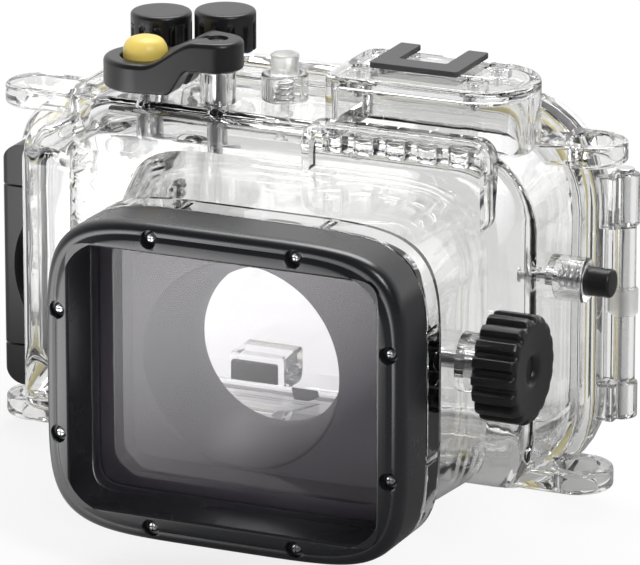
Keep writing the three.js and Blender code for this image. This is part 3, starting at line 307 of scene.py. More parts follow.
# Hands a finished piece over: its shading, name and material, its body, and the nodes that it stands for,
# which it hides
def finish(made, name, look, bodyName, *nodes, angle=34.0, weighted=True):
    global pieceCount
    material, slotName = looks[look]
    shaded(made, angle, weighted)
    made.name = name
    made.data.name = name
    made.data.materials.clear()
    made.data.materials.append(material)
    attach(made, bodyName)
    if nodes:
        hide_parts(*nodes)
    pieceCount += 1


# Node with its inputs and settings: an input given a socket is linked to it, any other takes the value
def addNode(tree, kind, feeds=None, **settings):
    made = tree.nodes.new("ShaderNode" + kind)
    for key, value in settings.items():
        setattr(made, key, value)
    for label, value in (feeds or {}).items():
        if isinstance(value, bpy.types.NodeSocket):
            tree.links.new(value, made.inputs[label])
        else:
            made.inputs[label].default_value = value
    return made


def maths(tree, operation, *feeds):
    return addNode(tree, "Math", dict(enumerate(feeds)), operation=operation).outputs["Value"]


def vectorMaths(tree, operation, result, *feeds):
    return addNode(tree, "VectorMath", dict(enumerate(feeds)), operation=operation).outputs[result]


def mixedShader(tree, share, first, second):
    return addNode(tree, "MixShader", {"Fac": share, 1: first, 2: second}).outputs["Shader"]


# Bump from a noise on object coordinates
def noiseBump(tree, scale, detail, strength, distance):
    where = addNode(tree, "TexCoord").outputs["Object"]
    noise = addNode(tree, "TexNoise", {"Vector": where, "Scale": scale, "Detail": detail}).outputs["Fac"]
    bump = addNode(tree, "Bump", {"Distance": distance, "Strength": strength, "Height": noise})
    return bump.outputs["Normal"]


# Node group whose inputs are plain numbers: gives its tree, the inputs as outputs within, and its results
def group(name, inputs, outputs):
    tree = bpy.data.node_groups.new(name, "ShaderNodeTree")
    for label, value in inputs.items():
        socket = tree.interface.new_socket(label, in_out="INPUT", socket_type="NodeSocketFloat")
        socket.default_value = value
    for label, kind in outputs.items():
        tree.interface.new_socket(label, in_out="OUTPUT", socket_type=kind)
    return tree, tree.nodes.new("NodeGroupInput").outputs, tree.nodes.new("NodeGroupOutput").inputs


# Fine grain of a moulded surface: a bump, with a slow noise as a shade and as a change in roughness
def buildGrain():
    tree, given, result = group(
        "mouldGrain", dict(Scale=2600.0, Depth=0.02, Rough=0.4, Spread=0.06),
        {"Normal": "NodeSocketVector", "Roughness": "NodeSocketFloat", "Shade": "NodeSocketFloat"})
    where = addNode(tree, "TexCoord").outputs["Object"]
    slow = addNode(tree, "TexNoise", {"Vector": where, "Scale": 46, "Detail": 4}).outputs["Fac"]
    rough = maths(tree, "MULTIPLY_ADD", slow, given["Spread"], given["Rough"])
    tree.links.new(noiseBump(tree, given["Scale"], 3, given["Depth"], 0.0003), result["Normal"])
    tree.links.new(rough, result["Roughness"])
    tree.links.new(slow, result["Shade"])
    return tree


# Slow waves that a mould leaves in clear plastic
def buildWaves():
    tree, given, result = group(
        "mouldWaves", dict(Wave=38.0, Depth=0.12), {"Normal": "NodeSocketVector"})
    tree.links.new(noiseBump(tree, given["Wave"], 2, given["Depth"], 0.002), result["Normal"])
    return tree


grainGroup, wavesGroup = buildGrain(), buildWaves()


def emptyMaterial(name):
    made = bpy.data.materials.new(name)
    made.use_nodes = True
    made.node_tree.nodes.clear()
    return made, made.node_tree, addNode(made.node_tree, "OutputMaterial").inputs["Surface"]


# Moulded or turned finish: two tones mixed by a slow shade, with grain in its roughness and bump
def solidMaterial(name, tone, otherTone, rough, spread=0.08, metallic=0.0, scale=2600.0, depth=0.02,
                  specular=0.5):
    made, tree, surface = emptyMaterial(name)
    grain = addNode(tree, "Group", node_tree=grainGroup)
    for label, value in dict(Scale=scale, Depth=depth, Rough=rough, Spread=spread).items():
        grain.inputs[label].default_value = value
    tones = {"Factor": grain.outputs["Shade"], "A": (*tone, 1), "B": (*otherTone, 1)}
    mix = addNode(tree, "Mix", tones, data_type="RGBA")
    shader = addNode(tree, "BsdfPrincipled", {
        "Base Color": mix.outputs["Result"], "Metallic": metallic, "Specular IOR Level": specular,
        "Roughness": grain.outputs["Roughness"], "Normal": grain.outputs["Normal"]})
    tree.links.new(shader.outputs["BSDF"], surface)
    return made


# See-through finish: real refraction for what is looked at, plain see-through for light that falls in
def clearMaterial(name, tint, rough, ior, wave, depth, shadowTint):
    made, tree, surface = emptyMaterial(name)
    waves = addNode(tree, "Group", node_tree=wavesGroup)
    waves.inputs["Wave"].default_value = wave
    waves.inputs["Depth"].default_value = depth
    shader = addNode(tree, "BsdfPrincipled", {
        "Base Color": (*tint, 1), "Roughness": rough, "IOR": ior, "Transmission Weight": 1,
        "Normal": waves.outputs["Normal"]})
    through = addNode(tree, "BsdfTransparent", {"Color": (*shadowTint, 1)})
    path = addNode(tree, "LightPath").outputs
    passing = maths(tree, "MAXIMUM", path["Is Shadow Ray"], path["Is Diffuse Ray"])
    tree.links.new(mixedShader(tree, passing, shader.outputs["BSDF"], through.outputs["BSDF"]), surface)
    return made


# Each look is a material and the slot that it fills
looks = dict(
    clear=(clearMaterial("clearPolycarbonate", (0.925, 0.926, 0.921), 0.015, 1.58, 38, 0.10,
                         (0.92, 0.92, 0.92)), "clear_plastic"),
    frost=(clearMaterial("frostedPolycarbonate", (0.96, 0.96, 0.95), 0.38, 1.5, 60, 0.1, (0.8, 0.8, 0.8)),
           "frosted_plastic"),
    pane=(clearMaterial("coatedWindow", (0.97, 0.95, 0.985), 0.0, 1.36, 8, 0.0, (0.9, 0.88, 0.94)),
          "coated_glass"),
    black=(solidMaterial("blackPlastic", (0.008, 0.008, 0.009), (0.012, 0.012, 0.013), 0.30, depth=0.03),
           "black_plastic"),
    satin=(solidMaterial("satinBezel", (0.008, 0.0085, 0.010), (0.012, 0.0125, 0.015), 0.25, spread=0.05,
                         depth=0.015, specular=0.65), "black_plastic"),
    shade=(solidMaterial("mattShade", (0.045, 0.040, 0.044), (0.055, 0.049, 0.054), 0.46, depth=0.04),
           "shade_plastic"),
    yellow=(solidMaterial("yellowPlastic", (0.84, 0.63, 0.13), (0.88, 0.67, 0.16), 0.34, depth=0.02),
            "yellow_plastic"),
    grey=(solidMaterial("darkShoe", (0.05, 0.05, 0.052), (0.065, 0.065, 0.066), 0.45, depth=0.03),
          "grey_plastic"),
    steel=(solidMaterial("screwSteel", (0.62, 0.62, 0.63), (0.72, 0.72, 0.73), 0.2, metallic=1.0, scale=900),
           "steel"),
    rubber=(solidMaterial("blackRubber", (0.022, 0.022, 0.024), (0.032, 0.032, 0.034), 0.62, depth=0.06),
            "black_rubber"),
    sealing=(solidMaterial("sealRubber", (0.74, 0.66, 0.34), (0.80, 0.72, 0.40), 0.45, depth=0.04),
             "seal_rubber"),
)
print("materials ready:", len(looks))


# Front face of the tub at (x, z): set back over the grip, swept back at the bottom and round at the rim
def tubRows(draw, back):
    edge, gripEdge = (body[key] - draw * body["edgeShare"] for key in ("edge", "gripEdge"))
    t = np.linspace(0, rightAngle, 15)
    tight, wide = (np.stack([cornerLoop(bodyCorners, draw + size * (1 - math.cos(a))) for a in t])
                   for size in (edge, gripEdge))
    leftness = np.clip((body["gripSide"] - tight[0, :, 0]) / body["gripBlend"], 0, 1)
    outer = tight + (wide - tight) * leftness[None, :, None]
    middle = np.array(body["middle"])
    shares = np.linspace(1, 0.02, 30)[1:, None, None]
    flat = np.concatenate([outer, middle + (outer[-1] - middle) * shares])
    depth = edge + (gripEdge - edge) * leftness
    rounding = np.concatenate([(1 - np.sin(t))[:, None] * depth, np.zeros((len(shares), len(depth)))])
    x, z = flat[..., 0], flat[..., 1]
    step = smooth(x, body["gripStart"], body["gripEnd"])
    plan = body["front"] + (body["gripFront"] - body["front"]) * step + draw
    rise = np.clip((z - body["low"] - draw) / body["lowRise"], 0, 1)
    sweep = body["front"] + draw + (body["lowBack"] - body["front"]) * (1 - np.sqrt(rise)) ** 2
    rows = place(flat, np.maximum(plan + rounding, sweep), "Y")
    wall = place(np.repeat(outer[:1], 3, 0), back, "Y")
    wall[1:, :, 1] = back + (rows[0, :, 1] - back) * np.array([[0.5], [0.9]])
    return np.concatenate([wall, rows])


# Tube between two outlines, each point on a straight line from the neck to the root
def portRows(draw, front, back, steps=10):
    p = port
    root = bulgedLoop((p["rootRight"] - p["rootLeft"]) / 2 - draw, (p["rootHigh"] - p["rootLow"]) / 2 - draw,
                      p["rootBulge"], (p["rootLeft"] + p["rootRight"]) / 2,
                      (p["rootLow"] + p["rootHigh"]) / 2)
    neck = bulgedLoop(p["neckHalfX"] - draw, p["neckHalfZ"] - draw, p["bulge"])
    y = np.linspace(front, back, steps)
    share = ((y - p["neckY"]) / (body["front"] - p["neckY"]))[:, None, None]
    return place(neck + (root - neck) * share, y[:, None], "Y")


# Lengths of the pieces that the shell makes room for
blockBox = dict(left=-1.0, right=41.6, front=-8.0, back=17.4, high=92.6, cornerLeft=4.0, cornerRight=11.0,
                wall=2.4)
blockScrews = dict(leftX=4.0, rightX=29.7, frontY=1.7, backY=13.9, head=1.7, sink=1.0, headTall=0.4,
                   shank=0.9, long=5.4, boss=2.9, bossLong=4.2)
lug = dict(thick=4.6, y=12.6, radius=7.4, eye=4.2, flare=0.5, edge=0.9, low=4.4, rightX=49.0, rightHighX=51.3,
           rightHighZ=75.2, lowLeftX=-76.0, lowLeftZ=3.4, loopLeft=-82.6, loopRight=-59.0, loopZ=73.0,
           loopHalfY=7.2, slotLeft=-78.6, slotRight=-64.6, slotHalfY=3.4)
hinge = dict(x=55.0, y=22.0, knuckle=3.1, barrel=2.5, band=3.0, pin=1.1, lowEnd=17.6, lowTop=25.4,
             highLow=59.4, highEnd=70.5, bandLow=40.0, bandHigh=45.6, bandRoot=4.2, armThick=3.4, pinHead=1.9,
             pinHeadTall=0.8)
shutter = dict(x=-43.3, y=-2.0, cap=4.7, high=94.9, low=88.2, footRadius=2.0, footLow=86.6,
               plate=3.2, plateThick=1.0, plateLow=85.3, stem=1.2, reach=9.0)
zoom = dict(x=-26.6, y=-2.0, hub=5.4, end=8.8, edge=1.1, well=5.1, low=84.5, high=90.7, hubLow=89.8,
            hubHigh=96.1, topRise=(-40.5, -29.3), underRise=(-35.3, -30.9), sink=2.2, sinkDeep=1.6,
            shaft=1.6, shaftHigh=92.5, boss=3.7, bossHigh=89.3, reach=13.0, fork=7.0, forkBack=1.8,
            forkThick=1.6, forkWide=3.0, forkCorner=1.2)
dial = dict(radius=6.5, tall=8.6, flutes=12, depth=1.0, fluteTop=2.4, edge=0.8, shaft=1.4, boss=3.5,
            reach=12.0, pointer=1.1, pointerOut=0.8, pointerTall=6.8, collar=4.2, collarTall=1.6)
dials = dict(mode=dict(x=-48.2, y=16.0, high=95.3, angle=-0.5),
             exposure=dict(x=-33.2, y=15.8, high=97.3, angle=1.4))
power = dict(x=-15.0, y=6.0, cap=3.0, high=92.2, capLow=87.0, boss=4.9, bossHigh=88.0, reach=6.2)
sideKey = dict(y=1.6, z=53.0, cap=3.0, outer=60.6, capIn=54.6, boss=4.7, bossOut=55.2, bossEdge=0.7,
               reach=6.2)
pocket = dict(wall=0.35, floor=1.2)
powerFloor, sideFloor = body["high"] - pocket["floor"], body["right"] + pocket["floor"]
stem = dict(radius=0.9, washer=1.6, washerThick=0.6)
ring = dict(y=-28.0, z=42.5, radius=11.3, inner=46.0, outer=55.6, ribs=18, rib=0.8, edge=1.5, dent=3.0,
            dentDeep=1.6, shaft=1.8, boss=6.2, bossIn=30.0, bossOut=45.0, bossEdge=0.7, wheel=6.0,
            wheelIn=25.0, wheelWide=4.5, shaftIn=24.0)
bezel = dict(front=-68.0, halfX=39.4, halfZ=33.5, openHalfX=33.7, openHalfZ=27.55, openBulge=16.0)
pane = dict(front=-57.5, back=-54.0, halfX=34.95, halfZ=28.8)
bezelScrew = dict(head=1.2, hole=1.85, sink=1.25, headTall=0.75, shank=0.85, reach=13.5, slot=0.3,
                  slotDeep=0.5, topX=15.8, topZ=30.35, sideX=36.25, sideZ=13.1)
shadeBox = dict(lipFront=-53.7, lipBack=-52.4, lipHalfX=32.95, lipHalfZ=26.8, boxHalfX=31.15, boxHalfZ=25.0,
                panel=-47.0, panelHalfX=29.65, panelHalfZ=23.5, wall=1.4, mouth=21.6, throat=17.2,
                coneBack=-35.0, back=-29.0, lensX=0.5, lensZ=42.4)
cover = dict(inset=3.2, trim=0.4, back=38.0, flange=4.2, wall=3.0, edge=4.0)
latch = dict(outer=-85.4, thick=5.8, room=0.7, roomDeep=6.0, roomPast=0.9, front=13.6, back=33.4, low=8.4,
             seamLow=17.7, seamHigh=52.9, high=62.5, corner=5.0, seam=0.5, pivotX=-84.6, pivotY=30.4,
             knuckle=2.7, pin=0.9, linkX=-83.6, linkY=22.0, linkPin=0.8, linkPinEnd=3.0, linkBack=26.0,
             lugTall=4.6, lugRoot=9.0, scoopRadius=19.2, scoopWide=3.0, scoopDeep=4.0, webThick=1.3,
             webFront=23.7, webPlay=1.1)


# Outline of the body, drawn in by a fixed amount on top of what a slab draws it in by
def bodyLoop(inset):
    return lambda draw: cornerLoop(bodyCorners, draw + inset)


# Outline with the opening's square bulge, for the window and what lies round it
def framedLoop(halfX, halfZ):
    return lambda draw: bulgedLoop(halfX - draw, halfZ - draw, bezel["openBulge"])


# Straight hole through the port's front with that outline
def framedHole(halfX, halfZ, back):
    loop = framedLoop(halfX + fit, halfZ + fit)(0)
    return skin("hole", place(np.stack([loop, loop]), np.array([[flange["front"] - over], [back]]), "Y"))


def blockLoop(draw):
    b = blockBox
    corners = [[b["left"], b["front"], b["cornerLeft"]], [b["right"], b["front"], b["cornerRight"]],
               [b["right"], b["back"], b["cornerRight"]], [b["left"], b["back"], b["cornerLeft"]]]
    return cornerLoop(corners, draw)


def screwPlaces():
    s = bezelScrew
    return [(port["midX"] + a * x, port["midZ"] + b * z)
            for a in (-1, 1) for b in (-1, 1) for x, z in ((s["topX"], s["topZ"]), (s["sideX"], s["sideZ"]))]


def blockScrewPlaces():
    s = blockScrews
    return [(x, y) for x in (s["leftX"], s["rightX"]) for y in (s["frontY"], s["backY"])]


# Lug with a round eye: a straight arm that ends in a half circle
def eyeLug(x, low, towards):
    g = lug
    t = np.linspace(-rightAngle, rightAngle, 33)
    side = 1 if x > towards else -1

    def outline(draw):
        radius = g["radius"] - draw
        arc = np.stack([x + side * radius * np.cos(t), g["y"] + radius * np.sin(t)], -1)
        arm = np.array([[towards, g["y"] + radius], [towards, g["y"] - radius]])
        return np.vstack([arc, arm])

    return slab("lug", outline, low, low + g["thick"], edge=g["edge"])


# Eye of a lug, wider at both faces
def eyeHole(x, low):
    eye, flare, high = lug["eye"], lug["flare"], low + lug["thick"]
    wide, wider = eye + flare, eye + flare + over
    profile = [[0, low - over], [wider, low - over], [wide, low], [eye, low + flare], [eye, high - flare],
               [wide, high], [wider, high + over], [0, high + over]]
    return turned("eye", profile, x, lug["y"])


def bodyKnuckle(low, high):
    h = hinge
    arm = boxSlab("arm", body["right"] + body["armRoot"], h["x"], seamY - h["armThick"], seamY, 0.4,
                  low, high, edge=0.4)
    return [rod("knuckle", h["knuckle"], h["x"], h["y"], low, high, edge=0.5), arm]


# Flat on the rims of both halves that the latch lies in
def latchRoom():
    a = latch
    return block("room", body["left"] - a["roomDeep"], a["outer"] + a["thick"] + a["room"],
                 seamY - a["roomDeep"], seamY + cover["flange"] + a["roomPast"], a["low"] - 2 * fit,
                 a["high"] + 2 * fit)


# Hood on the front wall: a rounded frame with teeth below its top bar
hood = dict(left=-1.5, right=40.5, front=-16.4, low=65.4, high=85.0, wall=2.0, corner=4.0, teeth=5,
            toothWide=4.6, toothTall=4.2)


def flashHood():
    h = hood
    back, inner, gapHigh = body["front"] + body["wall"] / 2, h["corner"] - h["wall"], h["high"] - h["wall"]
    outer = boxSlab("hood", h["left"], h["right"], h["low"], h["high"], h["corner"], h["front"], back, "Y",
                    0.9)
    carved(outer, boxSlab("gap", h["left"] + h["wall"], h["right"] - h["wall"],
                          h["low"] - h["corner"] - h["wall"], gapHigh, inner,
                          h["front"] - over, body["front"], "Y", 0.01))
    places = h["left"] + (h["right"] - h["left"]) / (h["teeth"] + 1) * np.arange(1, h["teeth"] + 1)
    half = h["toothWide"] / 2
    return [outer, *[boxSlab("tooth", x - half, x + half, gapHigh - h["toothTall"], h["high"] - h["wall"] / 2,
                             0.9, h["front"] + 0.1, back, "Y", 0.5) for x in places]]


# Shell: what stands out is joined to the tub first, then the rooms are hollowed and the bores cut
def frontShell():
    grip = dict(x=-69.4, y=5.0, radius=5.9, low=8.0, high=65.9, dome=3.0, lowEdge=2.5)
    foot = dict(halfX=13.0, back=17.0, front=-18.0, top=14.0, radius=4.0, socketY=8.0, socketRadius=3.2,
                socketDepth=5.5)
    f, g, b, deep = foot, grip, blockScrews, body["high"] - body["wall"] - over
    top = body["high"] + over
    portBack = body["front"] + body["wall"]
    lugs = [(lug["rightX"], lug["low"], body["right"] - body["lugRoot"]),
            (lug["rightHighX"], lug["rightHighZ"], body["right"] - body["lugRoot"]),
            (lug["lowLeftX"], lug["lowLeftZ"], body["left"] + body["lugRoot"])]
    shell = skin("frontShell", tubRows(0, seamY))
    joined(
        shell,
        slab("rim", bodyLoop(-body["rim"]), seamY - body["rimDeep"], seamY, "Y", 0.9),
        slab("rimStep", bodyLoop(-body["rimStep"]), seamY - body["rimStepDeep"],
             seamY - body["rimDeep"] + over, "Y", 0.7),
        turned("grip", soften([[0, g["low"]], [g["radius"], g["low"]], [g["radius"], g["high"]],
                               [0, g["high"]]], [0, g["lowEdge"], g["dome"] + 1, 0], 8), g["x"], g["y"]),
        boxSlab("foot", -f["halfX"], f["halfX"], f["front"], f["back"], f["radius"], 0, f["top"], edge=1.0),
        skin("portTube", portRows(0, flange["back"] - over, portBack)),
        slab("flange", lambda d: bulgedLoop(flange["halfX"] - d, flange["halfZ"] - d, port["bulge"]),
             flange["front"], flange["back"], "Y", flange["edge"]),
        slab("block", blockLoop, deep, blockBox["high"], edge=1.3),
        *flashHood(),
        *[boss(dial["boss"], d["x"], d["y"], deep, rimHigh, edge=0.1) for d in dials.values()],
        boss(sideKey["boss"], sideKey["y"], sideKey["z"], body["right"] - body["wall"], sideKey["bossOut"],
             "X", sideKey["bossEdge"]),
        boss(ring["boss"], ring["y"], ring["z"], port["rootRight"] - port["wall"], ring["bossOut"], "X",
             ring["bossEdge"]),
        *[eyeLug(x, low, towards) for x, low, towards in lugs],
        boxSlab("loop", lug["loopLeft"], lug["loopRight"] + lug["loopHalfY"], lug["y"] - lug["loopHalfY"],
                lug["y"] + lug["loopHalfY"], lug["loopHalfY"] - fit, lug["loopZ"],
                lug["loopZ"] + lug["thick"], edge=lug["edge"]),
        *bodyKnuckle(hinge["lowEnd"], hinge["lowTop"]), *bodyKnuckle(hinge["highLow"], hinge["highEnd"]))
    carved(
        shell,
        skin("room", tubRows(body["wall"], seamY + over)),
        skin("portRoom", portRows(port["wall"], flange["ledge"], portBack + fit)),
        slab("blockRoom", lambda d: blockLoop(d + blockBox["wall"]), deep - over,
             blockBox["high"] - blockBox["wall"], edge=1.0),
        framedHole(pane["halfX"], pane["halfZ"], flange["ledge"]),
        framedHole(shadeBox["boxHalfX"], shadeBox["boxHalfZ"], port["neckY"] + over))
    joined(shell, *[boss(b["boss"], x, y, blockBox["high"] - b["bossLong"],
                         blockBox["high"] - blockBox["wall"] / 2) for x, y in blockScrewPlaces()])
    return carved(
        shell,
        *[bore(bezelScrew["shank"] + fit, x, z, flange["front"] - over, flange["back"] - 0.6, "Y")
          for x, z in screwPlaces()],
        *[bore(radius + fit, x, y, blockBox["high"] - long, blockBox["high"] + over)
          for radius, long in ((b["shank"], b["bossLong"] + over), (b["head"], b["sink"]))
          for x, y in blockScrewPlaces()],
        bore(zoom["shaft"] + fit, zoom["x"], zoom["y"], deep - over, top),
        bore(shutter["stem"] + fit, shutter["x"], shutter["y"], deep - over, top),
        bore(stem["radius"] + fit, power["x"], power["y"], deep - over, body["high"]),
        bore(power["cap"] + pocket["wall"], power["x"], power["y"], powerFloor, top),
        *[bore(dial["shaft"] + fit, d["x"], d["y"], deep - over, d["high"]) for d in dials.values()],
        latchRoom(),
        bore(stem["radius"] + fit, sideKey["y"], sideKey["z"], body["right"] - body["wall"] - over,
             sideKey["bossOut"], "X"),
        bore(sideKey["cap"] + pocket["wall"], sideKey["y"], sideKey["z"], sideFloor,
             sideKey["bossOut"] + over, "X"),
        bore(ring["shaft"] + fit, ring["y"], ring["z"], ring["bossIn"], ring["bossOut"] + over, "X"),
        bore(hinge["pin"] + fit, hinge["x"], hinge["y"], hinge["lowEnd"] - over, hinge["highEnd"] + over),
        bore(f["socketRadius"], 0, f["socketY"], -over, f["socketDepth"]),
        *[eyeHole(x, low) for x, low, towards in lugs],
        boxSlab("slot", lug["slotLeft"], lug["slotRight"], lug["y"] - lug["slotHalfY"],
                lug["y"] + lug["slotHalfY"], lug["slotHalfY"] - fit, lug["loopZ"] - over,
                lug["loopZ"] + lug["thick"] + over))


finish(eased(frontShell(), 0.22), "frontShell", "clear", "housing", "front_shell")


# Bush on the top around a shaft or a cap: a turned ring with rounded rims
def topBush(spot, radius, hole, low, high):
    profile = soften([[hole, low], [radius, low], [radius, high], [hole, high]], [0.1, 0.1, 0.5, 0.4],
                     closed=True)
    return turned("bush", profile, spot["x"], spot["y"], count=72, hollow=True)


seatGap = 0.02  # keeps faces that lie on each other apart
spot = dials["exposure"]
finish(topBush(zoom, zoom["boss"], zoom["shaft"] + fit, body["high"] + seatGap, zoom["bossHigh"]),
       "zoomBush", "clear", "housing", "zoom_bush")
finish(topBush(power, power["boss"], power["cap"] + pocket["wall"], body["high"] + seatGap,
               power["bossHigh"]), "powerBush", "clear", "housing", "power_bush")
finish(topBush(spot, dial["boss"], dial["shaft"] + fit, rimHigh + seatGap,
               spot["high"] - dial["tall"] - fit), "exposureBush", "clear", "housing", "exposure_bush")
print("front shell made")


# Door: how its keys and their places are laid out, and the groove for the seal
rear = dict(cap=2.7, setCap=2.4, capTall=2.6, stem=1.0, boss=3.5, bossTall=1.0, travel=1.5, reach=8.0,
            guide=9.0)
rearPlaces = dict(
    pad_up=(-60, 47.2), pad_down=(-60, 30.8), pad_left=(-51.8, 39), pad_right=(-68.2, 39), set=(-60, 39),
    movie=(-50, 67), playback=(-54, 20), menu=(-66, 20))
wheel = dict(x=-66.0, z=60.0, radius=5.4, tall=5.0, ribs=16, rib=0.5, shaft=1.2, reach=8.0, collar=2.05,
             collarTall=1.6)
seal = dict(inside=-0.8, wide=1.5, deep=2.0)
backRest = dict(left=-35.7, right=-24.9, low=12.0, high=17.4, face=24.0, pad=1.4, frame=1.2)


# Tray of the door: the outline drawn in along a quarter circle at its back edge
def trayRows(inset, front, back, edge):
    t = np.linspace(0, rightAngle, 9)
    draws = np.concatenate([[inset], inset + edge * (1 - np.cos(t)), [inset + edge + 4, inset + edge + 14]])
    levels = np.concatenate([[front], back - edge * (1 - np.sin(t)), [back, back]])
    return [place(cornerLoop(bodyCorners, d), level, "Y") for d, level in zip(draws, levels)]


def latchLug(low, high):
    a = latch
    arm = boxSlab("arm", a["pivotX"], body["left"] + cover["inset"] + a["lugRoot"],
                  a["pivotY"] - a["knuckle"], a["pivotY"] + a["knuckle"], 0.4, low, high, edge=0.4)
    return [rod("lug", a["knuckle"], a["pivotX"], a["pivotY"], low, high, edge=0.4), arm]


def rearCover():
    c, h, r, face = cover, hinge, backRest, seamY + fit
    made = slab("rearCover", bodyLoop(c["trim"] - body["rim"]), face, face + c["flange"], "Y", 0.9)
    low, high = h["lowTop"] + fit, h["highLow"] - fit
    lugLow, lugHigh = latch["seamLow"] - latch["seam"], latch["seamHigh"] + latch["seam"]
    inner, floor = c["inset"] + c["wall"], c["back"] - c["wall"]
    joined(
        made, skin("tray", trayRows(c["inset"], face + c["flange"] - fit, c["back"], c["edge"])),
        rod("barrel", h["barrel"], h["x"], h["y"], low, high, edge=0.3),
        boxSlab("arm", body["right"] + body["armRoot"], h["x"], face, face + h["armThick"] / 2, 0.3,
                low, high),
        *latchLug(lugLow - latch["lugTall"], lugLow), *latchLug(lugHigh, lugHigh + latch["lugTall"]),
        *[boss(rear["boss"], x, z, floor, c["back"] + rear["bossTall"], "Y", 0.35)
          for x, z in [*rearPlaces.values(), (wheel["x"], wheel["z"])]])
    grooveEnd = face + seal["deep"]
    groove = slab("groove", bodyLoop(-seal["inside"] - seal["wide"] - fit / 2), face - over, grooveEnd,
                  "Y", 0.01)
    carved(groove, slab("core", bodyLoop(fit / 2 - seal["inside"]), face - 2 * over, grooveEnd + over,
                        "Y", 0.01))
    carved(made, slab("seat", bodyLoop(inner), face - over, floor - c["edge"], "Y", 0.01),
           skin("room", trayRows(inner, face - over, floor, c["edge"])), groove)
    joined(made, boxSlab("holder", r["left"] - r["frame"], r["right"] + r["frame"], r["low"] - r["frame"],
                         r["high"] + r["frame"], 0.8, r["face"] + r["pad"], c["back"] - c["wall"] / 2,
                         "Y", 0.4))
    return carved(
        made, *[bore(radius + fit, x, z, c["back"] - rear["guide"], c["back"] + 2 * over, "Y")
                for radius, x, z in [*[(rear["stem"], *at) for at in rearPlaces.values()],
                                     (wheel["shaft"], wheel["x"], wheel["z"])]],
        bore(h["pin"] + fit, h["x"], h["y"], h["lowTop"] - over, h["highLow"] + over),
        bore(latch["pin"] + fit / 2, latch["pivotX"], latch["pivotY"], latch["low"], latch["high"]),
        latchRoom())


finish(eased(rearCover(), 0.2), "rearDoor", "clear", "cover", "rear_cover")


# Sleeve round the barrel, left frosted, with the arm that holds it
def hingeBand():
    h, face = hinge, seamY + fit
    made = rod("band", h["band"] + seatGap, h["x"], h["y"], h["bandLow"], h["bandHigh"], edge=0.4)
    joined(made, boxSlab("arm", body["right"] + h["bandRoot"], h["x"], face, face + h["armThick"], 0.5,
                         h["bandLow"], h["bandHigh"], edge=0.5))
    return carved(made, bore(h["barrel"] + seatGap, h["x"], h["y"], h["bandLow"] - over,
                             h["bandHigh"] + over))


finish(hingeBand(), "hingeBand", "frost", "cover")


# Section of a rounded bar as pairs from -1 to 1: a cosine and a sine, each to a power that squares it off
def barSection(count, power):
    t = np.linspace(0, fullTurn, count, endpoint=False)
    return zip(*[np.sign(v) * np.abs(v) ** power for v in (np.cos(t), np.sin(t))])


# Seal in the door's groove, carried round the door's outline
def mainSeal():
    wide, deep = seal["wide"] / 2, (seal["deep"] - fit / 2) / 2
    middle = -seal["inside"] - wide
    return skin("seal", [place(bodyLoop(middle)(wide * a), seamY + fit / 2 + deep + deep * b, "Y")
                         for a, b in barSection(16, 0.7)], True)


finish(mainSeal(), "mainSeal", "sealing", "cover", "main_seal", weighted=False)
print("rear door made")


# Bezel: a profile of rows between the outer outline and the opening, closed on itself behind
def portBezel():
    b, front = bezel, bezel["front"]
    outerProfile = np.array([
        [0.0, flange["front"]], [0.0, front + 3.4], [0.12, front + 2.2], [0.45, front + 1.3],
        [1.0, front + 0.72], [1.6, front + 0.52], [2.15, front + 0.62], [2.5, front + 0.66],
        [2.8, front + 0.46], [3.15, front + 0.14], [3.6, front + 0.02]])
    roll = 0.6
    outer = np.stack([bulgedLoop(b["halfX"] - d, b["halfZ"] - d, port["bulge"]) for d in outerProfile[:, 0]])
    opening = framedLoop(b["openHalfX"], b["openHalfZ"])(0)
    seatLoop = framedLoop(pane["halfX"] + fit, pane["halfZ"] + fit)(0)
    lip = framedLoop(b["openHalfX"] + roll, b["openHalfZ"] + roll)(0)
    t = np.linspace(0, rightAngle, 5)
    rolled = lip + (opening - lip) * np.sin(t)[:, None, None]
    flat = np.concatenate([outer, rolled, [opening, seatLoop, seatLoop]])
    level = np.concatenate([outerProfile[:, 1], front + roll * (1 - np.cos(t)),
                            [pane["front"] - fit / 2, pane["front"] - fit / 2, flange["front"]]])
    made = skin("bezel", place(flat, level[:, None], "Y"), True)
    s = bezelScrew
    return carved(
        made,
        *[bore(s["shank"] + fit, x, z, front - over, flange["front"] + over, "Y") for x, z in screwPlaces()],
        *[rod("sink", s["hole"], x, z, front - over, front + s["sink"] + s["headTall"], "Y", 0.05, 32)
          for x, z in screwPlaces()])


finish(eased(portBezel(), 0.12, 2, 50), "portBezel", "satin", "housing", "port_bezel", angle=40)


# Screw with a domed head and a cross recess, standing in its hole
def bezelScrewAt(x, z):
    s = bezelScrew
    top = bezel["front"] + s["sink"]
    seat, end = top + s["headTall"] - seatGap, bezel["front"] + s["reach"]
    profile = np.vstack([soften([[0, top], [s["head"] * 0.62, top + 0.04], [s["head"], top + 0.34],
                                 [s["head"], seat], [s["shank"], seat]], [0, 0.5, 0.15, 0.05, 0]),
                         [[s["shank"], end], [0, end + 0.4]]])
    made = turned("screw", profile, x, z, "Y", 32)
    a, b, front, deep = s["head"] * 0.66, s["slot"] / 2, top - over, top + s["slotDeep"]
    return carved(made, *[block("blade", x - i, x + i, front, deep, z - j, z + j)
                          for i, j in ((a, b), (b, a))])


for index, (x, z) in enumerate(screwPlaces(), 1):
    finish(bezelScrewAt(x, z), f"bezelScrew{index}", "steel", "housing", f"bezel_screw_{index}")

finish(slab("pane", framedLoop(pane["halfX"], pane["halfZ"]), pane["front"], pane["back"], "Y", 0.35),
       "portWindow", "pane", "housing", "port_window")


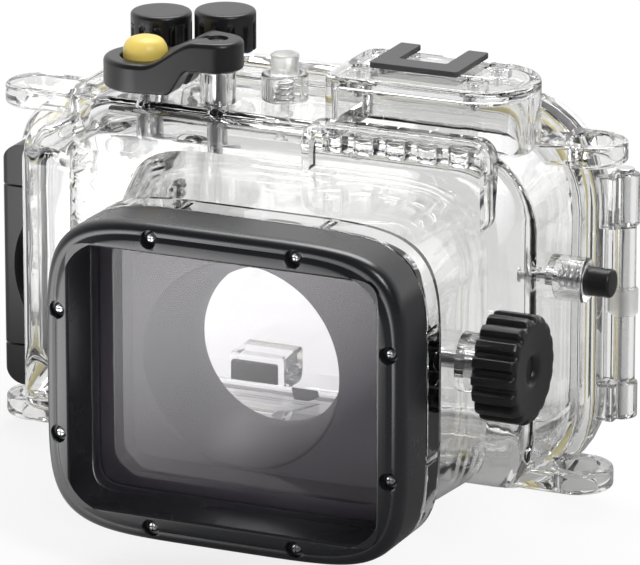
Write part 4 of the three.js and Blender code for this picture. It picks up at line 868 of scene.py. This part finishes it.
# Flat ring behind the window, carried round the opening
def windowSeal():
    gasket = dict(back=-52.2, halfX=33.25, halfZ=27.1)
    wide = (pane["halfX"] - gasket["halfX"]) / 2
    deep = (gasket["back"] - pane["back"]) / 2
    return skin("seal", [place(framedLoop(gasket["halfX"] + wide, gasket["halfZ"] + wide)(-wide * a),
                               pane["back"] + deep + deep * b, "Y") for a, b in barSection(12, 0.5)], True)


finish(windowSeal(), "windowSeal", "rubber", "housing", "window_seal", weighted=False)


# Shade: outlines that turn from the window's rectangle into the lens circle, out and back a wall apart
def lensShade():
    s, w = shadeBox, shadeBox["wall"]
    front, x, z = s["panel"] - w, s["panelHalfX"] - w, s["panelHalfZ"] - w
    roll = 0.9  # rounding of the panel's inner edge
    boxes = [  # half width, half height and level
        (s["boxHalfX"] - w, s["boxHalfZ"] - w, s["lipFront"]), (s["lipHalfX"], s["lipHalfZ"], s["lipFront"]),
        (s["lipHalfX"], s["lipHalfZ"], s["lipBack"]), (s["boxHalfX"], s["boxHalfZ"], s["lipBack"]),
        (s["panelHalfX"], s["panelHalfZ"], s["panel"])]
    circles = [  # radius and level
        (s["mouth"] + w, s["panel"]), (s["throat"] + w, s["coneBack"]), (s["throat"] + w, s["back"]),
        (s["throat"] + 0.2, s["back"]), (s["throat"], s["back"] - 0.2), (s["throat"], s["coneBack"]),
        (s["mouth"] - 0.2, front + 0.5), (s["mouth"] + 0.35, front)]
    innerBoxes = [(x - roll, z - roll, front), (x - 0.25, z - 0.25, front - 0.25), (x, z, front - roll)]
    asBoxes = [place(framedLoop(a, b)(0), y, "Y") for a, b, y in boxes + innerBoxes]
    asCircles = [place(circleLoop(radius, s["lensX"], s["lensZ"]), y, "Y") for radius, y in circles]
    return skin("shade", np.stack([*asBoxes[:len(boxes)], *asCircles, *asBoxes[len(boxes):]]), True)


finish(lensShade(), "lensShade", "shade", "housing", "lens_shade")
print("port made")


# Knob: round rows along its axle, each point drawn in between the ribs; the ribs fade where the rim turns
def ribbedKnob():
    g = ring
    radius, inner, outer, dent = g["radius"], g["inner"], g["outer"], g["dent"]
    floor = outer - g["dentDeep"]
    t = np.linspace(0, fullTurn, g["ribs"] * 20, endpoint=False)
    wave = 0.5 + 0.5 * np.cos(t * g["ribs"])
    valley = 1 - np.clip((wave - 0.14) / 0.5, 0, 1) ** 0.7
    turn = np.linspace(0, rightAngle, 7)
    # each row is its radius, its place along the axle and the strength of the ribs
    start = [[radius - 0.9, inner, 0.5], [radius - 0.2, inner + 0.25, 0.9], [radius, inner + 1.0, 1.0]]
    rim = np.stack([radius - g["edge"] * (1 - np.cos(turn)), outer - g["edge"] * (1 - np.sin(turn)),
                    np.linspace(1, 0.0, 7) ** 0.7], -1)
    face = [[radius - 2.4, outer - 0.05, 0], [dent + 1.6, outer - 0.35, 0], [dent + 0.5, outer - 0.42, 0],
            [dent - 0.1, outer - 0.8, 0], [dent - 0.5, floor + 0.1, 0], [dent - 1.2, floor, 0],
            [0.02, floor, 0]]
    rows = np.concatenate([start, rim, face])
    r = rows[:, :1] - g["rib"] * 1.35 * valley[None] * rows[:, 2:]
    flat = np.stack([g["y"] + r * np.cos(t), g["z"] + r * np.sin(t)], -1)
    return carved(skin("knob", place(flat, rows[:, 1:2], "X")),
                  bore(g["shaft"] + fit / 2, g["y"], g["z"], inner - over, (inner + outer) / 2, "X"))


finish(ribbedKnob(), "portKnob", "black", "ring", "ring_knob", angle=50)
finish(rod("shaft", ring["shaft"], ring["y"], ring["z"], ring["shaftIn"],
           (ring["inner"] + ring["outer"]) / 2 - fit, "X"), "portKnobShaft", "steel", "ring", "ring_shaft")


# Drive wheel: a rubber tyre with a shallow groove, turned about the knob's axle
def driveWheel():
    g = ring
    a, b, r, hole = g["wheelIn"], g["wheelIn"] + g["wheelWide"], g["wheel"], g["shaft"] + fit / 2
    profile = soften([[hole, a], [r, a], [r, a + 1.6], [r - 0.5, (a + b) / 2], [r, b - 1.6], [r, b],
                      [hole, b]], [0, 0.7, 0.4, 0.8, 0.4, 0.7, 0])
    return turned("wheel", profile, g["y"], g["z"], "X", hollow=True)


finish(driveWheel(), "driveWheel", "rubber", "ring", "ring_wheel")


# Dial: round rows up its shaft, drawn in at the flutes, which end below a smooth top
def fluted(spot):
    g = dial
    low, high, radius = spot["high"] - g["tall"], spot["high"], g["radius"]
    t = np.linspace(0, fullTurn, g["flutes"] * 24, endpoint=False)
    wave = np.cos((t - spot["angle"]) * g["flutes"] + math.pi)
    groove = np.clip((wave - 0.1) / 0.9, 0, 1) ** 0.55
    turn = np.linspace(0, rightAngle, 6)
    top = high - g["fluteTop"]
    # each row is its radius, its height and the strength of the flutes
    wall = [[radius - 0.3, low, 1], [radius, low + 0.3, 1], [radius, low + 2, 1], [radius, top - 1.2, 1],
            [radius, top - 0.8, 0.9], [radius, top - 0.4, 0.6], [radius, top, 0.2], [radius, top + 0.4, 0]]
    rim = np.stack([radius - g["edge"] * (1 - np.cos(turn)), high - g["edge"] * (1 - np.sin(turn)),
                    0 * turn], -1)
    rows = np.concatenate([wall, rim, [[radius - 2.0, high, 0], [0.02, high, 0]]])
    r = rows[:, :1] - g["depth"] * groove[None] * rows[:, 2:]
    flat = np.stack([spot["x"] + r * np.cos(t), spot["y"] + r * np.sin(t)], -1)
    c, s, side = math.cos(spot["angle"]), math.sin(spot["angle"]), g["pointer"]
    tip = radius + g["pointerOut"]
    corners = np.array([[radius - 2, -side], [tip - 0.4, -side], [tip, 0], [tip - 0.4, side],
                        [radius - 2, side]])
    spun = corners @ np.array([[c, s], [-s, c]]) + np.array([spot["x"], spot["y"]])
    outline = soften(spun, [0, 0.5, 0.5, 0.5, 0], closed=True)
    made = joined(skin("dial", place(flat, rows[:, 1:2], "Z")),
                  prism("pointer", outline, low + 0.1, low + g["pointerTall"]))
    return carved(made, bore(g["shaft"] + fit / 2, spot["x"], spot["y"], low - over, low + g["tall"] / 2))


for key, spot in dials.items():
    finish(fluted(spot), f"{key}Dial", "black", key, f"{key}_dial", angle=42)
    x, y, low = spot["x"], spot["y"], body["high"] - dial["reach"]
    finish(joined(rod("shaft", dial["shaft"], x, y, low, spot["high"] - dial["tall"] / 2 - fit),
                  rod("collar", dial["collar"], x, y, low, low + dial["collarTall"], edge=0.4)),
           f"{key}Shaft", "steel", key, f"{key}_shaft")


# Outline round two circles of different size, drawn in by one amount
def pearLoop(draw, count=168):
    t = np.linspace(0, fullTurn, 1440, endpoint=False)
    out = np.stack([np.cos(t), np.sin(t)], -1)
    centres = np.array([[shutter["x"], zoom["y"]], [zoom["x"], zoom["y"]]])
    radii = np.array([zoom["end"], zoom["hub"]]) - draw
    reach = out @ centres.T + radii
    chosen = np.argmax(reach, 1)
    return evenLoop(centres[chosen] + radii[chosen, None] * out, count)


# Lever: pear-shaped rows whose top and underside rise along X from the button's ring to the hub
def zoomLever():
    g, edge = zoom, zoom["edge"]
    t = np.linspace(0, rightAngle, 6)
    underEdge = edge * 0.6
    within = [4.9, 3.0, 2.0]
    draws = np.concatenate([within, underEdge * (1 - np.sin(t)), edge * (1 - np.cos(t)), within[::-1]])
    lift = np.concatenate([np.zeros(3), underEdge * (1 - np.cos(t)), -edge * (1 - np.sin(t)), np.zeros(3)])
    flat = np.stack([pearLoop(d) for d in draws])
    isTop = np.arange(len(draws)) >= len(draws) / 2
    x = flat[..., 0]
    top = g["high"] + (g["hubHigh"] - g["high"]) * smooth(x, *g["topRise"])
    bottom = g["low"] + (g["hubLow"] - g["low"]) * smooth(x, *g["underRise"])
    made = skin("lever", place(flat, np.where(isTop[:, None], top, bottom) + lift[:, None], "Z"))
    well, wellLow, wellTop = g["well"], g["low"] - 4, g["high"] + seatGap
    flare = turned("well", [[0, wellLow], [well, wellLow], [well, wellTop - 0.5],
                            [well + 0.15, wellTop - 0.15], [well + 0.6, wellTop + 0.1],
                            [well + 1.2, wellTop + 6], [0, wellTop + 6]],
                   shutter["x"], shutter["y"], count=72)
    return carved(made, flare, rod("sink", g["sink"], g["x"], g["y"], g["hubHigh"] - g["sinkDeep"],
                                   g["hubHigh"] + over, edge=0.05),
                  bore(zoomScrew["shank"] + fit / 2, g["x"], g["y"], g["hubLow"], g["hubHigh"]),
                  bore(g["shaft"] + fit / 2, g["x"], g["y"], g["hubLow"] - over,
                       (g["hubLow"] + g["hubHigh"]) / 2))


# Small screw on end: a rounded head, a shank and a cross or a single slot
def topScrew(x, y, top, screw, cross):
    head, shank, under = screw["head"], screw["shank"], top - screw["headTall"]
    end = under - screw["long"]
    profile = soften([[0, top], [head, top], [head, under], [shank, under], [shank, end], [0, end]],
                     [0, 0.3, 0.1, 0.05, 0.2, 0])
    long, half = head * 0.6 if cross else head + over, 0.2
    blades = [(long, half), (half, long)] if cross else [(long, half)]
    return carved(turned("screw", profile, x, y, "Z", 32),
                  *[block("blade", x - a, x + a, y - b, y + b, top - 0.5, top + over) for a, b in blades])


zoomScrew = dict(head=1.9, headTall=0.85, shank=0.8, long=3.9, sunk=0.6)
z = zoom
finish(zoomLever(), "zoomLever", "black", "zoom", "zoom_lever", angle=42)
finish(topScrew(z["x"], z["y"], z["hubHigh"] - zoomScrew["sunk"], zoomScrew, True),
       "zoomScrew", "steel", "zoom", "zoom_screw")
for index, (x, y) in enumerate(blockScrewPlaces(), 1):
    finish(topScrew(x, y, blockBox["high"] - fit, blockScrews, False),
           f"blockScrew{index}", "steel", "housing", f"block_screw_{index}")
low = body["high"] - z["reach"]
finish(joined(rod("shaft", z["shaft"], z["x"], z["y"], low, z["shaftHigh"]),
              boxSlab("fork", z["x"] - z["fork"], z["x"] + z["forkBack"], z["y"] - z["forkWide"] / 2,
                      z["y"] + z["forkWide"] / 2, z["forkCorner"], low, low + z["forkThick"])),
       "zoomShaft", "steel", "zoom", "zoom_shaft")

g = shutter
profile = soften([[0, g["footLow"]], [g["footRadius"], g["footLow"]], [g["footRadius"], g["low"]],
                  [g["cap"], g["low"]], [g["cap"], g["high"] - 2.5], [3.7, g["high"] - 0.75],
                  [1.6, g["high"] - 0.08], [0, g["high"]]], [0, 0.3, 0.2, 0.3, 1.6, 1.4, 0.9, 0], 6)
finish(turned("button", profile, g["x"], g["y"], "Z", 64),
       "shutterButton", "yellow", "shutter", "shutter_button", angle=45, weighted=False)
finish(joined(rod("plate", g["plate"], g["x"], g["y"], g["plateLow"], g["plateLow"] + g["plateThick"]),
              rod("stem", g["stem"], g["x"], g["y"], body["high"] - g["reach"], g["plateLow"] + fit)),
       "shutterPlunger", "steel", "plunger", "shutter_plunger")


# Key on a stem, turned as one with the washer that keeps it in: the end gives the top of its cap
def stemmed(inner, radius, capIn, cap, end, edges, a, b, axis, count):
    washer, washerIn = stem["washer"], inner + stem["washerThick"]
    shaft = [[0, inner], [washer, inner], [washer, washerIn], [radius, washerIn], [radius, capIn],
             [cap, capIn]]
    return turned("key", soften([*shaft, *end], [0, 0.15, 0.15, 0, 0, *edges]), a, b, axis, count)


cap, high = power["cap"], power["high"]
finish(stemmed(body["high"] - power["reach"], stem["radius"], power["capLow"], cap,
               [[cap, high], [cap - 1.2, high], [0, high]], [0.25, 0.9, 0.3, 0], power["x"], power["y"],
               "Z", 48),
       "powerButton", "frost", "power", "power_button")


# Spring: a round wire on a helix about an axis
def coil(low, high, a, b, axis, radius=1.95, wire=0.24, curls=4):
    s = np.linspace(0, 1, curls * 28 + 1)
    turn = s * curls * fullTurn
    flat = np.stack([a + radius * np.cos(turn), b + radius * np.sin(turn)], -1)
    return tube("coil", place(flat, low + wire + (high - low - 2 * wire) * s, axis), wire)


k = sideKey
finish(coil(powerFloor + fit, power["capLow"] - fit, power["x"], power["y"], "Z"), "powerSpring", "steel",
       "power", "power_spring", weighted=False)
finish(coil(sideFloor + fit, k["capIn"] - fit, k["y"], k["z"], "X"), "sideSpring", "steel", "side",
       "side_spring", weighted=False)
low, middle = body["right"] - k["reach"], (k["capIn"] + k["outer"]) / 2
finish(carved(rod("cap", k["cap"], k["y"], k["z"], k["capIn"], k["outer"], "X", 0.7, 56),
              bore(stem["radius"] + fit / 2, k["y"], k["z"], k["capIn"] - over, middle, "X")),
       "sideButton", "black", "side", "side_button")
finish(joined(rod("stem", stem["radius"], k["y"], k["z"], low, middle - fit, "X"),
              rod("washer", stem["washer"], k["y"], k["z"], low, low + stem["washerThick"], "X", 0.15)),
       "sideStem", "steel", "side", "side_stem")
print("controls made")


# Keys on the door, the middle one smaller than the rest
capIn = cover["back"] + rear["bossTall"] + rear["travel"] + fit
high = capIn + rear["capTall"]
for key, (x, z) in rearPlaces.items():
    cap = rear["setCap"] if key == "set" else rear["cap"]
    finish(stemmed(cover["back"] - rear["reach"], rear["stem"], capIn, cap,
                   [[cap, high], [cap - 1.0, high - 0.12], [0, high - 0.3]], [0.2, 0.5, 0.5, 0], x, z,
                   "Y", 40),
           f"{key}Button", "black", f"{key}_key", f"{key}_button")


# Wheel: round rows with square ribs softened at their edges
def ribbedWheel():
    w, radius = wheel, wheel["radius"]
    front = cover["back"] + rear["bossTall"] + fit
    back = front + w["tall"]
    t = np.linspace(0, fullTurn, w["ribs"] * 12, endpoint=False)
    valley = np.clip(0.5 - 0.9 * np.cos(t * w["ribs"]), 0, 1)
    # each row is its radius, its level and the strength of the ribs
    rows = np.array([[radius - 0.5, front, 0.8], [radius, front + 0.4, 1], [radius, back - 0.9, 1],
                     [radius - 0.4, back - 0.2, 0.6], [radius - 1.2, back, 0], [0.02, back - 0.2, 0]])
    r = rows[:, :1] - w["rib"] * valley[None] * rows[:, 2:]
    flat = np.stack([w["x"] + r * np.cos(t), w["z"] + r * np.sin(t)], -1)
    return carved(skin("wheel", place(flat, rows[:, 1:2], "Y")),
                  bore(w["shaft"] + fit / 2, w["x"], w["z"], front - over, front + w["tall"] / 2, "Y"))


w, front = wheel, cover["back"] - wheel["reach"]
middle = cover["back"] + rear["bossTall"] + w["tall"] / 2
finish(ribbedWheel(), "doorWheel", "black", "rear_dial", "rear_wheel", angle=42)
finish(joined(rod("shaft", w["shaft"], w["x"], w["z"], front, middle, "Y"),
              rod("collar", w["collar"], w["x"], w["z"], front, front + w["collarTall"], "Y")),
       "doorWheelShaft", "steel", "rear_dial", "rear_wheel_shaft")


# Lever of the latch: a bar with a scoop at its middle and room behind it for the link's web
def latchLever():
    a, low, high = latch, latch["seamLow"], latch["seamHigh"]
    inner = a["outer"] + a["thick"]
    outline = soften([[a["outer"], a["front"]], [inner, a["front"]], [inner, a["back"] - a["knuckle"]],
                      [a["pivotX"] + 1.6, a["pivotY"] + 1.4], [a["pivotX"] + 0.4, a["back"]],
                      [a["pivotX"] - 0.4, a["back"]], [a["outer"], a["back"] - a["knuckle"]]],
                     [1.6, 0.5, 0.8, 0.5, 0.3, 0.3, 0.8], closed=True)
    return eased(carved(
        prism("lever", outline, low, high),
        rod("scoop", a["scoopRadius"], inner - a["scoopWide"] + a["scoopRadius"], (low + high) / 2,
            a["front"] - over, a["front"] + a["scoopDeep"], "Y", 0.6, 160),
        block("webRoom", inner - a["webThick"] - fit, inner + over, a["webFront"] - a["webPlay"],
              a["linkBack"] + fit, low - over, high + over),
        bore(a["pin"] + fit / 2, a["pivotX"], a["pivotY"], low - over, high + over),
        bore(a["linkPin"] + fit / 2, a["linkX"], a["linkY"], low - over, high + over)), 0.3, 3)


# Link of the latch: the bar's two ends, rounded outside, with a web between them
def latchLink():
    a = latch
    inner, corner, front, back = a["outer"] + a["thick"], a["corner"], a["front"] - over, a["linkBack"] + over
    outline = soften([[a["outer"], a["front"]], [inner, a["front"]], [inner, a["linkBack"]],
                      [a["outer"], a["linkBack"]]], [1.6, 0.5, 0.5, 0.5], closed=True)
    rounded = cornerLoop([[a["outer"], a["low"], corner], [inner + 10, a["low"], 0.4],
                          [inner + 10, a["high"], 0.4], [a["outer"], a["high"], corner]])
    made = cutOrJoin(prism("link", outline, a["low"], a["high"]), [prism("keep", rounded, front, back, "Y")],
                     "INTERSECT")
    carved(made, block("room", a["outer"] - over, inner + over, front, back,
                       a["seamLow"] - a["seam"], a["seamHigh"] + a["seam"]))
    joined(made, block("web", inner - a["webThick"], inner, a["webFront"], a["linkBack"], a["seamLow"] - over,
                       a["seamHigh"] + over))
    return eased(carved(made, bore(a["linkPin"] + fit / 2, a["linkX"], a["linkY"], a["low"] - over,
                                   a["high"] + over)), 0.3, 3)


a, h = latch, hinge
lugReach = a["seam"] + a["lugTall"]
finish(latchLever(), "latchLever", "black", "latch", "latch_lever")
finish(latchLink(), "latchLink", "black", "claw", "latch_link")
finish(rod("pin", a["pin"], a["pivotX"], a["pivotY"], a["seamLow"] - lugReach, a["seamHigh"] + lugReach),
       "latchPin", "steel", "cover", "latch_pin")
finish(rod("pin", a["linkPin"], a["linkX"], a["linkY"], a["low"] + a["linkPinEnd"],
           a["high"] - a["linkPinEnd"]), "linkPin", "steel", "latch", "link_pin")
pinTop = h["highEnd"] + fit
finish(joined(rod("pin", h["pin"], h["x"], h["y"], h["lowEnd"] - fit, pinTop),
              rod("head", h["pinHead"], h["x"], h["y"], pinTop, pinTop + h["pinHeadTall"], edge=0.4)),
       "hingePin", "steel", "housing", "hinge_pin")


# Plate on the raised box: a bar at the front with an arm back along each side
def shoePlate():
    left, right, front, back, arm, bar, thick = 6.4, 26.2, 0.4, 17.2, 4.6, 5.2, 1.3
    outline = soften([[left, front], [right, front], [right, back], [right - arm, back],
                      [right - arm, front + bar], [left + arm, front + bar], [left + arm, back],
                      [left, back]], [1.0, 1.0, 0.5, 0.5, 0.6, 0.6, 0.5, 0.5], closed=True)
    low = blockBox["high"] + fit
    return eased(prism("shoe", outline, low, low + thick), 0.25)


finish(shoePlate(), "shoePlate", "grey", "housing", "shoe_plate")
r = backRest
finish(boxSlab("pad", r["left"], r["right"], r["low"], r["high"], 0.6, r["face"],
               r["face"] + r["pad"] - fit / 2, "Y", 0.4), "backPad", "rubber", "cover", "back_pad")


# Floor pad: a wedge whose back edge is a quarter curve
def floorPad():
    rest = dict(x=-15.2, wide=3.6, front=13.0, back=19.0, high=16.5)
    low, half = body["low"] + body["wall"] + fit, rest["wide"] / 2
    t = np.linspace(0, rightAngle, 10)
    long, tall = rest["back"] - rest["front"], rest["high"] - low
    arc = np.stack([rest["front"] + long * np.cos(t), low + tall * np.sin(t)], -1)
    outline = np.vstack([[[rest["front"], low]], arc])
    return eased(prism("pad", outline, rest["x"] - half, rest["x"] + half, "X"), 0.3)


finish(floorPad(), "floorPad", "rubber", "housing", "floor_pad")
print("pieces made:", pieceCount)


# The pale room: where the floor's glow fades, in metres, as start, end, start's strength and end's strength
# leftward and outward paint a reflection that only gloss sees, bright far out and to the left; front and near
# paint shade that only rays through clear plastic see, darker towards the camera's side, with a painted
# shadow round shadeAt
stage = dict(leftward=(0.06, -0.15, 0.05, 1.0), outward=(0.08, 0.30, 0.25, 1.0),
             front=(-0.10, -0.45, 0.88, 0.12), near=(0.03, 0.095, 0.35, 1.0), shadeAt=(0.035, 0.0, 0.0),
             floorTone=0.86, glowShare=0.8, reach=2500, behind=900, roomSide=(0.45, -0.75, 0.45),
             roomLight=(0.30, (1, 1, 1, 1)), roomDark=(0.75, (0.05, 0.05, 0.055, 1)), fill=0.55)



def mapped(tree, source, limits):
    feeds = dict(zip(("From Min", "From Max", "To Min", "To Max"), limits), Value=source)
    return addNode(tree, "MapRange", feeds, interpolation_type="SMOOTHSTEP").outputs["Result"]


# Floor: lit from above, and for the camera, gloss and clear plastic it also glows, each by its own strength;
# the gloss strength is a painted reflection and the clear strength is painted shade
def whiteStage():
    made, tree, surface = emptyMaterial("paleFloor")
    tone, reach = stage["floorTone"], stage["reach"]
    path = addNode(tree, "LightPath").outputs
    where = addNode(tree, "TexCoord").outputs["Object"]
    parts = addNode(tree, "SeparateXYZ", {"Vector": where}).outputs
    distance = vectorMaths(tree, "LENGTH", "Value", where)
    aside = vectorMaths(tree, "DISTANCE", "Value", where, stage["shadeAt"])
    # painted reflection: the floor seen in gloss is brighter to the left and far from the middle
    paintedReflectionGlow = maths(tree, "MULTIPLY", mapped(tree, parts["X"], stage["leftward"]),
                    mapped(tree, distance, stage["outward"]))
    # painted shade: through clear plastic the floor is darker towards the camera's side, with a painted
    # shadow round shadeAt
    paintedShadeThroughClear = maths(tree, "MULTIPLY", mapped(tree, parts["Y"], stage["front"]),
                    mapped(tree, aside, stage["near"]))
    # a ray that went through clear plastic counts as glossy too, so the clear strength is mixed in last
    strength = 1
    for kind, wanted in (("Is Glossy Ray", paintedReflectionGlow), ("Is Transmission Ray", paintedShadeThroughClear)):
        strength = addNode(tree, "Mix", {"Factor": path[kind], "A": strength, "B": wanted},
                           data_type="FLOAT").outputs["Result"]
    seen = maths(tree, "MAXIMUM", maths(tree, "MAXIMUM", path["Is Camera Ray"], path["Is Glossy Ray"]),
                 path["Is Transmission Ray"])
    lit = addNode(tree, "BsdfDiffuse", {"Color": (tone, tone, tone, 1)}).outputs["BSDF"]
    white = addNode(tree, "Emission", {"Strength": strength}).outputs["Emission"]
    share = maths(tree, "MULTIPLY", seen, stage["glowShare"])
    tree.links.new(mixedShader(tree, share, lit, white), surface)
    across = np.linspace(-reach, reach, 5)
    x, y = np.meshgrid(across, across + stage["behind"])
    points = np.stack([x, y, np.zeros_like(x)], -1)
    index = np.arange(x.size).reshape(x.shape)
    faces = np.stack([index[:-1, :-1], index[:-1, 1:], index[1:, 1:], index[1:, :-1]], -1).reshape(-1, 4)
    mesh = bpy.data.meshes.new("floor")
    mesh.from_pydata((points.reshape(-1, 3) * mm).tolist(), [], faces.tolist())
    floor = bpy.data.objects.new("floor", mesh)
    scene.collection.objects.link(floor)
    mesh.materials.append(made)


# World: white to the camera; what glass and gloss see grows darker towards the camera's side and overhead
def studioWorld():
    scene.world = bpy.data.worlds.new("studio")
    scene.world.use_nodes = True
    tree = scene.world.node_tree
    tree.nodes.clear()
    path = addNode(tree, "LightPath").outputs
    where = addNode(tree, "TexCoord").outputs["Generated"]
    side = vectorMaths(tree, "DOT_PRODUCT", "Value", where, stage["roomSide"])
    ramp = addNode(tree, "ValToRGB", {"Fac": maths(tree, "MULTIPLY_ADD", side, 0.5, 0.5)})
    for stop, (position, colour) in zip(ramp.color_ramp.elements, (stage["roomLight"], stage["roomDark"])):
        stop.position, stop.color = position, colour
    plain, soft, room = (addNode(tree, "Background", feeds).outputs["Background"] for feeds in (
        {"Color": (1, 1, 1, 1)}, {"Strength": stage["fill"]}, {"Color": ramp.outputs["Color"]}))
    seen = maths(tree, "MAXIMUM", path["Is Glossy Ray"], path["Is Transmission Ray"])
    shown = mixedShader(tree, path["Is Camera Ray"], mixedShader(tree, seen, soft, room), plain)
    addNode(tree, "OutputWorld", {"Surface": shown})


# Softbox at a point in millimetres that looks at another; it fades out to its edges as 16 u (1 - u) v (1 - v)
def softbox(name, at, towards, wide, tall, watts, fades=False):
    light = bpy.data.lights.new(name, "AREA")
    light.shape, light.size, light.size_y, light.energy = "RECTANGLE", wide * mm, tall * mm, watts
    if fades:
        light.use_nodes = True
        tree = light.node_tree
        where = addNode(tree, "NewGeometry").outputs["Parametric"]
        product = vectorMaths(tree, "MULTIPLY", "Vector", where,
                              vectorMaths(tree, "SUBTRACT", "Vector", (1, 1, 1), where))
        parts = addNode(tree, "SeparateXYZ", {"Vector": product}).outputs
        strength = maths(tree, "MULTIPLY", maths(tree, "MULTIPLY", parts["X"], parts["Y"]), 16)
        tree.links.new(strength, tree.nodes["Emission"].inputs["Strength"])
    made = bpy.data.objects.new(name, light)
    scene.collection.objects.link(made)
    at, towards = Vector(at) * mm, Vector(towards) * mm
    made.matrix_world = Matrix.Translation(at) @ (at - towards).to_track_quat("Z", "Y").to_matrix().to_4x4()
    made.visible_camera = False


whiteStage()
studioWorld()
lamps = dict(
    overhead=dict(at=(-100, 450, 1000), towards=(0, 0, 40), wide=700, tall=500, watts=8),
    lowLeft=dict(at=(-116, -196, 3), towards=(-116, -196, 300), wide=205, tall=310, watts=1.15, fades=True),
    rightSide=dict(at=(700, -600, 900), towards=(20, -20, 40), wide=320, tall=500, watts=6))
for name, lamp in lamps.items():
    softbox(name, **lamp)

# The camera as solved from the photograph: its place, its three directions and its lens
view = dict(at=(525.0, -1177.8, 452.5), right=(0.91212, 0.40992, 0), up=(-0.12327, 0.27428, 0.95371),
            back=(0.39095, -0.86990, 0.30071), lens=365.6, film=36, near=0.05, far=30)
camera = bpy.data.objects.new("camera", bpy.data.cameras.new("camera"))
camera.data.lens, camera.data.sensor_width, camera.data.sensor_fit = view["lens"], view["film"], "HORIZONTAL"
camera.data.clip_start, camera.data.clip_end = view["near"], view["far"]
directions = Matrix((view["right"], view["up"], view["back"])).transposed().to_4x4()
camera.matrix_world = Matrix.Translation(Vector(view["at"]) * mm) @ directions
scene.collection.objects.link(camera)
scene.camera = camera

# Clear walls lie many deep, so a ray passes many faces before it leaves them
scene.view_settings.view_transform = "Standard"
scene.cycles.max_bounces = scene.cycles.transmission_bounces = 28
scene.cycles.glossy_bounces = 8
scene.cycles.transparent_max_bounces = 32

print("camera and light ready")
